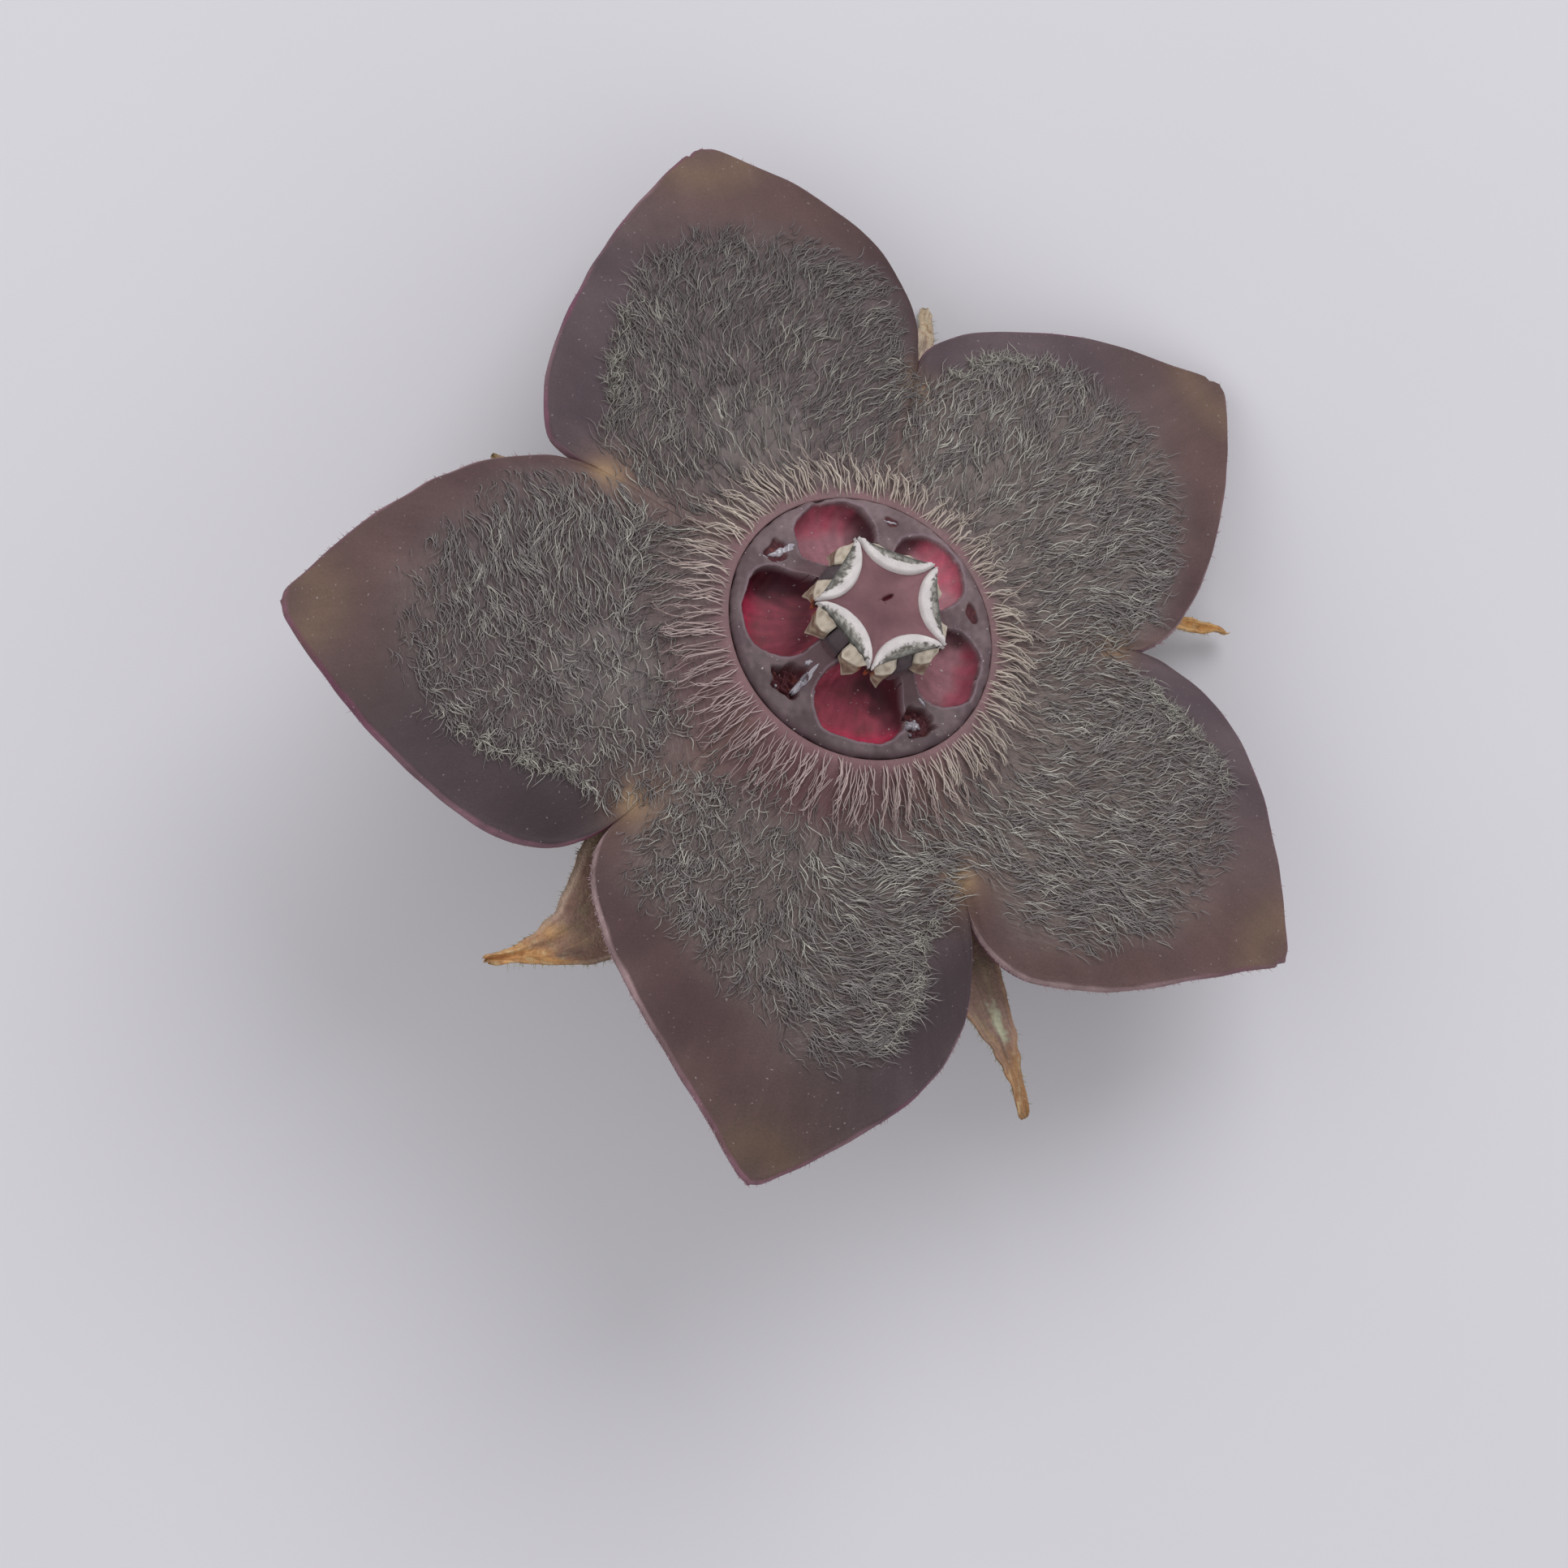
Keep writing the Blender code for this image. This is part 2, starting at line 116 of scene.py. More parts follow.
# Hairs round the corona, row by row outwards: number of tufts, radius of their roots, length, brightness
RING_HAIRS = ((78, 4.03, 1.25, 1.0), (80, 4.25, 1.35, 1.0), (66, 4.55, 1.2, 0.8), (54, 5.0, 1.1, 0.55))

# Corona
CORONA_RADIUS = 3.95
CORONA_FOOT = 0.3 - SEAT_DEPTH
RIM_HEIGHT = 1.2
HUB_RADIUS = 1.0
TOP_EDGE = 3.84
# Side of the corona from its top edge down: radius and height from that edge
SHOULDER = ((3.88, -0.008), (3.92, -0.03), (3.945, -0.07), (3.955, -0.14), (3.94, -0.4), (3.85, -0.85),
            (3.7, -1.2))
CORONA_RINGS = 106
STAR_HEADING = -7
# Cups: turn from the star's tip, outer radius, half width, how pink and dull the flesh is (partly a painted
# sheen), depth, the heading of the side painted in shade, and how light the cup is painted, as painted light
CUPS = np.array(((2.5, 3.78, 1.20, 1.0, 0.5, 85, 1.2), (-8, 3.84, 1.28, 0.95, 0.75, -35, 0.92),
                 (-9, 3.58, 1.36, 0.15, 0.95, 35, 1.0), (10, 3.50, 1.38, 0.1, 0.85, -5, 1.35),
                 (11, 3.67, 1.24, 0.95, 0.6, 60, 0.78)))
CUP_MIDDLE = 2.45
CUP_HALF_LENGTH = 1.2    # towards the star
RIB_HALF_WIDTH = 0.20
RIB_RISE = 0.8           # how far the ribs between the cups climb towards the anthers
# Pits between the cups: heading, radius, depth, half length outwards and half width
PITS = ((26, 3.46, 0.06, 0.15, 0.20), (94, 3.22, 0.16, 0.34, 0.40), (172, 2.88, 0.55, 0.55, 0.50),
        (254, 3.10, 0.50, 0.48, 0.46), (326, 3.44, 0.12, 0.16, 0.38))
# Nectar: heading, radius, half length, half width, slant and height of each drop, coloured pale as a painted
# glint
DROPS = (
    (26.4, 3.47, 0.19, 0.04, 95, 0.03), (91, 3.13, 0.34, 0.13, 66, 0.04), (100, 3.40, 0.08, 0.04, 20, 0.03),
    (178, 2.62, 0.38, 0.11, 12, 0.09), (171, 2.30, 0.09, 0.06, 0, 0.06), (170, 3.18, 0.05, 0.04, 0, 0.04),
    (252.5, 3.12, 0.22, 0.17, 30, 0.09), (262, 2.72, 0.12, 0.04, 0, 0.05), (247, 3.38, 0.06, 0.05, 60, 0.04),
    (188, 2.52, 0.10, 0.06, 40, 0.03), (194, 2.85, 0.09, 0.04, 60, 0.03), (150, 3.02, 0.06, 0.03, 30, 0.03),
)

# Star, anthers and column
HEAD_TOP = 3.0
HEAD_THICKNESS = 0.45
HEAD_TIP = 2.0
HEAD_SAG = 0.25
STAR_WAIST = 1.02        # radius of the star's visible side at its middle
SLIT_HEADING = math.radians(-14)
SLIT_LENGTH = 0.21       # half of it
COLUMN_RADIUS = 0.8
# Wing of an anther, from the middle of the star's side to its tip: distance along the side, radius and height
# of its upper edge, its fold and its lower edge
WING = np.array((
    ((0.30, 1.58, 3.00), (0.28, 1.80, 2.66), (0.31, 1.80, 2.25)),
    ((0.50, 1.60, 3.02), (0.50, 1.90, 2.62), (0.56, 1.92, 2.08)),
    ((0.74, 1.62, 3.01), (0.80, 1.86, 2.66), (0.78, 1.99, 1.90)),
    ((0.92, 1.65, 2.98), (0.93, 1.82, 2.72), (0.95, 1.84, 2.28)),
    ((1.07, 1.68, 2.93), (1.06, 1.73, 2.76), (1.03, 1.72, 2.45)),
))

# Calyx and stalk: heading, reach, depth of the tip, how far the dried tip bends aside, and the half width
SEPALS = ((22, 13.8, 4.5, 0.3, 1.5), (97.4, 11.25, 3.5, 0.4, 2.2), (183.5, 13.4, 4.2, -1.7, 5.0),
          (251.5, 14.0, 4.2, 0.1, 2.7), (331, 14.2, 4.6, -0.95, 1.3))
SEPAL_CURLS = (0.15, -0.6, 1, -0.6, 1)         # how far each tip curls up, or down
# Colours of each sepal's blade, margins and dried tip
SEPAL_TINTS = (("ab988e", "b8a594", "bcab92"), ("8a765a", "9a8470", "9c8460"), ("876a5e", "b49c8a", "c0905c"),
               ("866c62", "a08068", "a07850"), ("8d7866", "a68c74", "d6a364"))
SEPAL_TIP_WIDTH = 0.2    # half of it
SEPAL_HAIRS = 560
RECEPTACLE_RADIUS = 2.1
PEDICEL_RADIUS = 0.9
PEDICEL_RUN = 8.5
PEDICEL_HAIRS = 1900
REST_DEPTH = 10.3

CAMERA_DISTANCE = 220
CAMERA_WIDTH = 44.4      # width of the picture at the corona's rim
CAMERA_SHIFT = (-2.22, -4.45)
# Lamps: name, place and size in metres, and power in watts
LAMPS = (("key", (0.14, 0.28, 0.36), 0.30, 0.9), ("fill", (-0.25, 0.05, 0.30), 0.36, 0.2))

# Tissues: roughness, size and strength of the coarse and the fine variation, depth of the relief, shine, and
# strength of the lines that run along a lobe and of the small pale specks, which on the corona are painted
# glints
LOOKS = {
    "corolla": (0.6, (1.6, 0.08), (0.07, 0.10), 0.015, 0.22, 0.07, 0.35),
    "corona": (0.62, (0.5, 0.12), (0.05, 0.10), 0.006, 0.25, 0, 0.8),
    "column": (0.6, (0.4, 0.15), (0.05, 0.1), 0.01, 0.25),
    "style_head": (0.62, (0.5, 0.10), (0.05, 0.06), 0.005, 0.25),
    "anther": (0.6, (0.35, 0.05), (0.04, 0.07), 0.006, 0.3),
    "corpusculum": (0.3, (0.2, 0.15), (0.05, 0.1), 0.004),
    "sepal": (0.75, (0.7, 0.16), (0.09, 0.16), 0.03, 0.5, 0.2),
    "pedicel": (0.7, (0.9, 0.12), (0.08, 0.12), 0.03),
    "hair": (0.55, (0.3, 0.08), (0.05, 0.05), 0.002, 0.3),
    "nectar": (0.12, (0.3, 0.05), (0.05, 0.02), 0.001),
}
# small pale specks; on the corona they are painted glints of wet flesh
SPECK_SIZE = 0.085
SPECK_COLOUR = (0.45, 0.41, 0.41)
LINES = {"Scale": 1.0, "Detail": 3.0, "Roughness": 0.65}       # noise of veins and of fine down


# ---------------------------------------------------------------- helpers

def rgb(code):
    """Linear colour of a hex code."""
    levels = np.array([int(code[i:i + 2], 16) for i in (0, 2, 4)]) / 255
    return np.where(levels <= 0.04045, levels / 12.92, ((levels + 0.055) / 1.055) ** 2.4)


def blend(first, second, share):
    """Mixes points or colours, which may be hex codes; share may be an array."""
    first, second = (rgb(part) if isinstance(part, str) else part for part in (first, second))
    return first + (second - first) * np.asarray(share, float)[..., None]


def paint(colour, *layers):
    """Lays colours over one, each by its share."""
    for layer, share in layers:
        colour = blend(colour, layer, share)
    return colour


def smooth(low, high, value):
    t = np.clip((value - low) / (high - low), 0, 1)
    return t * t * (3 - 2 * t)


def bump_at(value, centre, width):
    return np.exp(-((value - centre) / width) ** 2)


def norm(vectors):
    return np.linalg.norm(vectors, axis=-1)


def unit(vectors):
    return vectors / (norm(vectors)[..., None] + 1e-12)


def polar(heading, radius):
    """Points of the face's plane at headings in degrees."""
    angle = np.radians(heading)
    return np.stack((radius * np.cos(angle), radius * np.sin(angle)), -1)


def from_plane(x, y):
    """Radius, and heading in degrees, of points of the plane."""
    return np.hypot(x, y), np.degrees(np.arctan2(y, x))


def facing(heading, centre):
    """1 at the centre heading, down to 0 a quarter turn away."""
    return np.clip(np.cos(np.radians(heading - centre)), 0, 1)


def turn_between(start, end):
    """Signed turn in degrees from one heading to another."""
    return (end - start + 180) % 360 - 180


def ripple(x, y, size, seed, waves=7):
    """Smooth random relief from about -1 to 1, with bumps of about the given size."""
    rng = np.random.default_rng(seed)
    total = np.zeros_like(x)
    for angle, scale, phase in zip(rng.uniform(0, math.tau, waves), rng.uniform(0.6, 1.7, waves),
                                   rng.uniform(0, math.tau, waves)):
        total += np.sin(math.pi / size * scale * (x * math.cos(angle) + y * math.sin(angle)) + phase)
    return total / math.sqrt(waves) * 0.8


def bezier(t, *knots):
    """Points of a cubic curve."""
    u = 1 - t
    start, first, second, end = knots
    return u ** 3 * start + 3 * u * u * t * first + 3 * u * t * t * second + t ** 3 * end


def grid(rows, columns):
    """Each row's value and each column's value over a whole grid."""
    return np.meshgrid(rows, columns, indexing="ij")


def spokes_round(count):
    """Headings of evenly spread spokes."""
    return 360 * np.arange(count) / count


def raised(flat, height):
    """Points at their heights over places of the plane."""
    return np.concatenate((flat, height[..., None]), -1)


def split(points):
    """Coordinates of points, each as an array of its own."""
    return np.moveaxis(points, -1, 0)


def quads(rows, columns, closed=False, first=0):
    """Quads between the points of a grid that is stored row by row."""
    row, column = grid(np.arange(rows - 1), np.arange(columns - (not closed)))
    here = row * columns + first
    beside = (column + 1) % columns
    corners = (here + column, here + columns + column, here + columns + beside, here + beside)
    return np.stack(corners, -1).reshape(-1, 4)


def closed_sheet(front, back):
    """Points and faces of a skin closed all round two open grids of points, rows x columns x 3."""
    rows, columns, _ = front.shape
    total = rows * columns
    numbers = np.arange(total).reshape(rows, columns)
    edge = np.concatenate((numbers[0], numbers[1:, -1], numbers[-1, -2::-1], numbers[-2::-1, 0]))
    sides = np.stack((edge[:-1], edge[:-1] + total, edge[1:] + total, edge[1:]), -1)
    faces = np.concatenate((quads(rows, columns), quads(rows, columns, first=total)[:, ::-1], sides))
    return np.concatenate((front.reshape(-1, 3), back.reshape(-1, 3))), [faces]


def capped(rings, middles=None):
    """Points and faces of a skin through closed rings of points, with a fan in its first and its last ring."""
    count, spokes, _ = rings.shape
    if middles is None:
        middles = rings[[0, -1]].mean(1)
    total = count * spokes
    ring = np.arange(spokes)
    beside = np.roll(ring, -1)
    last = total - spokes
    fans = np.concatenate((np.stack((np.full(spokes, total), ring, beside), -1),
                           np.stack((np.full(spokes, total + 1), beside + last, ring + last), -1)))
    return np.concatenate((rings.reshape(-1, 3), middles)), [quads(count, spokes, True), fans]


def join(skins):
    """Points and faces of several skins as one."""
    starts = np.cumsum([0] + [len(points) for points, _ in skins])
    faces = [group + start for (_, groups), start in zip(skins, starts) for group in groups]
    return np.concatenate([points for points, _ in skins]), faces


def per_hair(knots):
    """How many points a hair with these knots has."""
    return HAIR_SIDES * (knots - 1) + 1


def tubes(paths, radius, taper=0.75):
    """Points and faces of tapered hairs along many paths at once, hairs x knots x 3."""
    count, knots, _ = paths.shape
    along = unit(np.gradient(paths, axis=1))
    across = unit(np.cross(along, np.array((0.13, 0.21, 0.97))))[:, :-1, None]
    over = np.cross(across, along[:, :-1, None])
    width = radius[:, None] * (1 - taper * np.linspace(0, 1, knots)[None, :] ** 1.6)
    side = np.arange(HAIR_SIDES)
    angles = (math.tau * side / HAIR_SIDES + math.pi / 2)[:, None]
    rings = paths[:, :-1, None] + (across * np.cos(angles) + over * np.sin(angles)) * width[:, :-1, None, None]
    points = np.concatenate((rings.reshape(count, -1, 3), paths[:, -1:]), 1)
    each = per_hair(knots)
    last = each - 1 - HAIR_SIDES + side
    tip = np.stack((last, np.full(HAIR_SIDES, each - 1), np.roll(last, -1)), -1)
    shift = (np.arange(count) * each)[:, None, None]
    faces = [(part[None] + shift).reshape(-1, part.shape[1])
             for part in (quads(knots - 1, HAIR_SIDES, True), tip, side[None])]
    return points.reshape(-1, 3), faces


def flower_frame():
    """Matrix of the flower's own frame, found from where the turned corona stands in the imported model."""
    lean = Matrix.Rotation(HEADING, 3, "Z") @ Matrix.Rotation(LEAN, 3, "Y")
    corners = np.array([lean.transposed() @ vert.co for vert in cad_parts["corona"].data.vertices])
    low = corners.min(0)
    high = corners.max(0)
    middle = Vector(((low[0] + high[0]) / 2, (low[1] + high[1]) / 2, low[2] - CORONA_FOOT * MM))
    return Matrix.Translation(lean @ middle) @ lean.to_4x4()


FLOWER = flower_frame()


def in_metres(points):
    """Points of the flower's own frame in the model's."""
    return points @ np.array(FLOWER.to_3x3()).T * MM + np.array(FLOWER.translation)


def new_piece(name, skin, slot, replaced, tint, look=None, lobe=None, down=None, sharp=None):
    """One visible piece from a skin's points and faces, with its colours on its points."""
    points, faces = skin
    mesh = bpy.data.meshes.new(name)
    placed = in_metres(points)
    placed[:, 2] = np.maximum(placed[:, 2], CAD_BOX[0][2] + CLEARANCE * MM)
    mesh.from_pydata(placed.tolist(), [], [corner for group in faces for corner in group.tolist()])
    rgba = np.ones((len(points), 4))
    rgba[:, :3] = np.clip(tint, 0.001, 1)
    mesh.color_attributes.new("tint", "FLOAT_COLOR", "POINT").data.foreach_set("color", rgba.ravel())
    for key, values in (("lobe", lobe), ("down", down)):
        if values is not None:
            mesh.attributes.new(key, "FLOAT_VECTOR", "POINT").data.foreach_set("vector", values.ravel())
    mesh.validate()
    mesh.shade_smooth()
    if sharp:
        mesh.set_sharp_from_angle(angle=math.radians(sharp))
    mesh.materials.append(MATERIALS[look or slot])
    piece = bpy.data.objects.new(name, mesh)
    bpy.context.scene.collection.objects.link(piece)
    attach(piece, "root")
    if replaced:
        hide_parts(*replaced)


# ---------------------------------------------------------------- materials

def add(tree, kind, inputs=(), **settings):
    """Adds a node, sets it up, and fills its inputs with values or other nodes' outputs."""
    node = tree.nodes.new(kind)
    for key, value in settings.items():
        setattr(node, key, value)
    for key, value in dict(inputs).items():
        if isinstance(value, bpy.types.NodeSocket):
            tree.links.new(value, node.inputs[key])
        else:
            node.inputs[key].default_value = value
    return node


def noise_node(tree, inputs):
    return add(tree, "ShaderNodeTexNoise", inputs).outputs["Fac"]


def attribute(tree, name, output):
    return add(tree, "ShaderNodeAttribute", attribute_name=name).outputs[output]


def spread(tree, value, low, high, start=0.3, end=0.7):
    """Maps a noise value to a range."""
    inputs = {"Value": value, "From Min": start, "From Max": end, "To Min": low, "To Max": high}
    return add(tree, "ShaderNodeMapRange", inputs).outputs["Result"]


def math_node(tree, operation, *values):
    return add(tree, "ShaderNodeMath", dict(enumerate(values)), operation=operation).outputs[0]


def vector_node(tree, operation, inputs):
    return add(tree, "ShaderNodeVectorMath", inputs, operation=operation).outputs[0]


def mix(tree, first, second, share):
    """Colour between two; share is a node's output."""
    step = vector_node(tree, "SUBTRACT", {0: second, 1: first})
    part = vector_node(tree, "SCALE", {0: step, "Scale": share})
    return vector_node(tree, "ADD", {0: first, 1: part})


def downy(tree, colour, height):
    """Fine hairs pressed to the skin, drawn along the wool: their colour over the skin's, and their relief."""
    place = attribute(tree, "down", "Vector")
    axes = add(tree, "ShaderNodeSeparateXYZ", {"Vector": place}).outputs
    flat = add(tree, "ShaderNodeCombineXYZ", {"X": axes["X"], "Y": axes["Y"]}).outputs["Vector"]
    lines = noise_node(tree, {"Vector": flat, "Distortion": 0.7} | LINES)
    share = math_node(tree, "MULTIPLY", spread(tree, lines, 0.05, 0.85, 0.44, 0.62), axes["Z"])
    colour = mix(tree, colour, tuple(rgb(DOWN_COLOUR)), share)
    return colour, math_node(tree, "MULTIPLY_ADD", share, 1.5, height)


def new_material(name):
    """A material, its nodes, their surface and the place on the object."""
    material = bpy.data.materials.new(name)
    material.use_nodes = True
    tree = material.node_tree
    place = add(tree, "ShaderNodeTexCoord").outputs["Object"]
    return material, tree, tree.nodes["Principled BSDF"], place


def tissue(name, roughness, mottle, grain, relief, shine=0.5, veins=0.0, specks=0.0):
    """Plant tissue coloured by its points' tint; see LOOKS."""
    material, tree, surface, place = new_material(name)
    tint = attribute(tree, "tint", "Color")
    inputs = {"Vector": place, "Roughness": 0.6}
    coarse = noise_node(tree, inputs | {"Scale": 1 / (mottle[0] * MM), "Detail": 3.0})
    fine = noise_node(tree, inputs | {"Scale": 1 / (grain[0] * MM), "Detail": 2.0})
    shade = math_node(tree, "MULTIPLY", spread(tree, coarse, 1 - mottle[1], 1 + mottle[1]),
                   spread(tree, fine, 1 - grain[1], 1 + grain[1]))
    height = fine
    if veins:
        lines = noise_node(tree, {"Vector": attribute(tree, "lobe", "Vector"), "Distortion": 0.3} | LINES)
        shade = math_node(tree, "MULTIPLY", shade, spread(tree, lines, 1 - veins, 1 + veins))
        height = math_node(tree, "MULTIPLY_ADD", lines, 1.2, height)
    colour = vector_node(tree, "SCALE", {0: tint, "Scale": shade})
    # pale specks, painted glints on the corona
    if specks:
        dots = noise_node(tree, {"Vector": place, "Scale": 1 / (SPECK_SIZE * MM), "Detail": 0.0})
        colour = mix(tree, colour, SPECK_COLOUR, spread(tree, dots, 0, specks, 0.80, 0.86))
    if name == "corolla":
        colour, height = downy(tree, colour, height)
    tree.links.new(colour, surface.inputs["Base Color"])
    tree.links.new(spread(tree, fine, roughness - 0.07, roughness + 0.07), surface.inputs["Roughness"])
    bump = add(tree, "ShaderNodeBump", {"Height": height, "Distance": relief * MM})
    tree.links.new(bump.outputs["Normal"], surface.inputs["Normal"])
    surface.inputs["Specular IOR Level"].default_value = shine
    if name == "nectar":
        surface.inputs["Coat Weight"].default_value = 0.6
        surface.inputs["Coat Roughness"].default_value = 0.05
    return material


MATERIALS = {name: tissue(name, *look) for name, look in LOOKS.items()}


# ---------------------------------------------------------------- corolla

def sector_of(heading):
    """Lobe index, side (1 towards the next notch) and share of the way from the lobe's midline to the notch."""
    index = np.zeros(heading.shape, int)
    side = np.ones(heading.shape)
    share = np.zeros(heading.shape)
    for number in range(5):
        for sign, notch in ((1, NOTCHES[number, 0]), (-1, NOTCHES[number - 1, 0])):
            span = sign * turn_between(LOBES[number, 0], notch)
            offset = sign * turn_between(LOBES[number, 0], heading)
            here = (offset >= 0) & (offset <= span)
            index[here] = number
            side[here] = sign
            share[here] = offset[here] / span
    return index, side, share


def corolla_height(x, y):
    """Height of the corolla's face at points of its plane."""
    radius, heading = from_plane(x, y)
    index, side, share = sector_of(heading % 360)
    reach, droop = LOBES[index, 1], LOBES[index, 2]
    shared_droop = (droop + LOBES[(index + side.astype(int)) % 5, 2]) / 2
    out = np.maximum(0, radius - THROAT)
    fall = (out / (reach - THROAT)) ** DROOP_POWER
    fold = (out / (NOTCHES[0, 1] - THROAT)) ** DROOP_POWER
    height = -fall * (droop + (shared_droop - droop) * share ** 2)
    height -= VALLEY * np.minimum(fold, 2.2) * share ** 3
    height += COLLAR_HEIGHT * (0.85 * smooth(5.9, 4.3, radius) + 0.15 * smooth(4.4, 4.1, radius))
    height -= (SEAT_DEPTH + COLLAR_HEIGHT) * smooth(SEAT_RADIUS, 3.90, radius) ** 1.5
    lap = smooth(0.4, 0.85, share) * (1 - smooth(0.94, 1.0, share)) * smooth(6.5, 9, radius)
    height -= side * lap * MARGIN_LAP
    for heading, middle, size in DOMES:
        away = norm(np.stack((x, y), -1) - polar(heading, middle)) / size
        height += DOME_HEIGHT * np.sqrt(np.clip(1 - away ** 2, 0, 1))
    beyond = smooth(THROAT + 0.5, THROAT + 3, radius)
    return height + beyond * (0.08 * ripple(x, y, 3.0, 5) + 0.02 * ripple(x, y, 0.8, 6))


def lobe_margin(index, side, share):
    """Points of the lobes' margins, from the tip (share 0) to the notch beside it (share 1)."""
    heading = LOBES[index, 0]
    after = side > 0
    half_angle = np.where(after, LOBES[index, 4], LOBES[index, 3])
    notch = NOTCHES[np.where(after, index, index - 1)]
    tip = polar(heading, LOBES[index, 1])
    sinus = polar(notch[..., 0], notch[..., 1])
    tip_handle = tip + polar(heading + side * (180 - half_angle), TIP_HANDLE)
    sinus_handle = sinus + polar(notch[..., 0], np.where(after, LOBES[index, 6], LOBES[index, 5]))
    line = bezier(share[..., None], tip, tip_handle, sinus_handle, sinus)
    blunt = 0.16 * bump_at(norm(line - tip), 0, 0.3)
    nicked = side * NICKS[index] > 0
    blunt += np.where(nicked, 0.13 * bump_at(share, np.abs(NICKS[index]), 0.008), 0)
    return line * (1 - blunt / LOBES[index, 1])[..., None]


def lobe_spokes(index, side, share):
    """Where a lobe's spokes start at the throat and end on the margin, and their headings."""
    notch = NOTCHES[np.where(side > 0, index, index - 1), 0]
    heading = LOBES[index, 0] + share * turn_between(LOBES[index, 0], notch)
    return polar(heading, THROAT), lobe_margin(index, side, share), heading


def lobe_spot(index, side, share, out):
    """Points of a lobe's plane: out is 0 at the throat and 1 on the margin."""
    return blend(*lobe_spokes(index, side, share)[:2], out)


def from_tip(spot, index):
    """Distance from the lobe's tip."""
    return norm(spot - polar(LOBES[index, 0], LOBES[index, 1]))


def margin_distance(index, spot, steps=60):
    """Distance to the lobe's own margin, and which share of the margin is nearest and on which side."""
    shares = np.tile(np.linspace(0, 1, steps), 2)
    sides = np.repeat((1.0, -1.0), steps)
    distance, nearest, nearest_side = np.empty((3, len(index)))
    for number in range(5):
        rows = np.flatnonzero(index == number)
        gaps = norm(spot[rows, None] - lobe_margin(np.full(2 * steps, number), sides, shares))
        best = gaps.argmin(1)
        distance[rows] = gaps[np.arange(len(rows)), best]
        nearest[rows] = shares[best]
        nearest_side[rows] = sides[best]
    return distance, nearest, nearest_side


def wool_cover(index, spot, rounding=0.6):
    """Distance inside the border of the woolly patch, and the nearest margin's share and side."""
    distance, nearest, nearest_side = margin_distance(index, spot)
    wave = 0.2 * ripple(*spot.T, 1.5, 11) * (1 - smooth(0.8, 1.0, nearest))
    inner, outer, covered, covered_outer, bare_tip = BARE[index].T
    covered = covered_outer + (covered - covered_outer) * smooth(0.3, 0.7, nearest)
    covered = covered + (outer - covered) * smooth(0.35, 0.1, nearest)
    covered *= 1 - 0.6 * smooth(0.93, 1.0, nearest)
    bare = np.where(nearest_side > 0, covered, outer + (inner - outer) * nearest)
    past_tip = (bare_tip - from_tip(spot, index)) * 0.8
    inside = wave - rounding * np.log(np.exp((bare - distance) / rounding) + np.exp(past_tip / rounding))
    inside = np.where(norm(spot) < THROAT + 0.6, THROAT, inside)
    return inside, nearest, nearest_side


def lobe_skin(index, side, share, tip, inside, blotch):
    """Colour of a lobe's face: brown before its midline, slate after it and olive at its tip."""
    # tone: the painted light and shade of each lobe
    tone = TONES[index]
    before = blend("5c4746", "523e40", smooth(-0.8, 0.8, blotch)) * tone[:, :1]
    after = blend("55484c", "4a3e43", smooth(-0.8, 0.8, blotch)) * tone[:, 1:2]
    woolly = np.array([rgb(code) for code in WOOL_SKIN])[index]
    brown, warm, olive = (rgb(code) * tone[:, 2:3] for code in ("66504c", "5c4845", "705b4b"))
    return paint(before, (after, smooth(-0.25, 0.25, share * side)), (brown, smooth(6, 2, tip) * 0.45),
                 (woolly, smooth(-0.9, 1.6, inside) * 0.9), (warm, bump_at(tip, 0.6, 2.2) * 0.6),
                 (olive, bump_at(tip, 1.25, 0.65) * 0.6))


def down_lines(index, side, spot):
    """Where the fine down of the corolla's face runs: along it, across it, and how dense it is."""
    degrees = LOBES[index, 0] + np.where(side > 0, WOOL[index, 1], WOOL[index, 0])
    away = spot - polar(LOBES[index, 0], 9)
    along = (away * polar(degrees, 1.0)).sum(1)
    across = (away * polar(degrees + 90, 1.0)).sum(1)
    radius, heading = from_plane(*spot.T)
    near_ring = smooth(7, 5.5, radius)
    dense = smooth(-0.3, 0.7, wool_cover(index, spot)[0]) * smooth(4.2, 5.0, radius)
    dense *= DOWN[index] + (0.7 - DOWN[index]) * near_ring
    dense *= 1 - 0.7 * facing(heading, LOWER_LEFT) * near_ring
    return np.stack((along / 0.40 + 30 * index, across / 0.06, dense), -1)


def face_colours(index, side, share, spot, blotch, fleck):
    """Colours of the corolla's face, and of the line along its margins."""
    x, y = spot.T
    radius, heading = from_plane(x, y)
    tip = from_tip(spot, index)
    notch = norm(spot[:, None] - polar(NOTCHES[:, 0], NOTCHES[:, 1] - NOTCH_SPOT)).min(1)
    low = facing(heading, LOWER_LEFT)
    colour = lobe_skin(index, side, share, tip, wool_cover(index, spot)[0], blotch)
    colour = paint(colour, (blend("7a696a", "6a454a", low), smooth(6.6, 5.0, radius) * (0.5 + 0.3 * low)),
                   ("6b524b", smooth(0.55, 1.0, share) * smooth(9.5, 7.5, radius) * 0.5))
    for centre, middle, size in DOMES:
        away = norm(spot - polar(centre, middle)) / size
        colour = blend(colour, "736b6a", smooth(1.06, 0.9, away) * 0.6)
    spots = np.clip(bump_at(notch, 0, 0.45) * (0.8 + 0.3 * fleck), 0, 1)
    colour = paint(colour, ("7e6064", smooth(4.6, 4.2, radius) * (0.8 + 0.15 * fleck)),
                   ("7d6353", bump_at(notch, 0, 0.9) * 0.5), ("a68a6a", spots * 0.75))
    frosted = (side < 0) * smooth(0.1, 0.5, share) * np.where(index > 2, 0.7, 0.35)
    pale = smooth(-1, 1, ripple(x, y, 2.5, 24)) * 0.3 + frosted
    return colour, blend("74455a", "b49c9c", np.clip(pale, 0, 1))


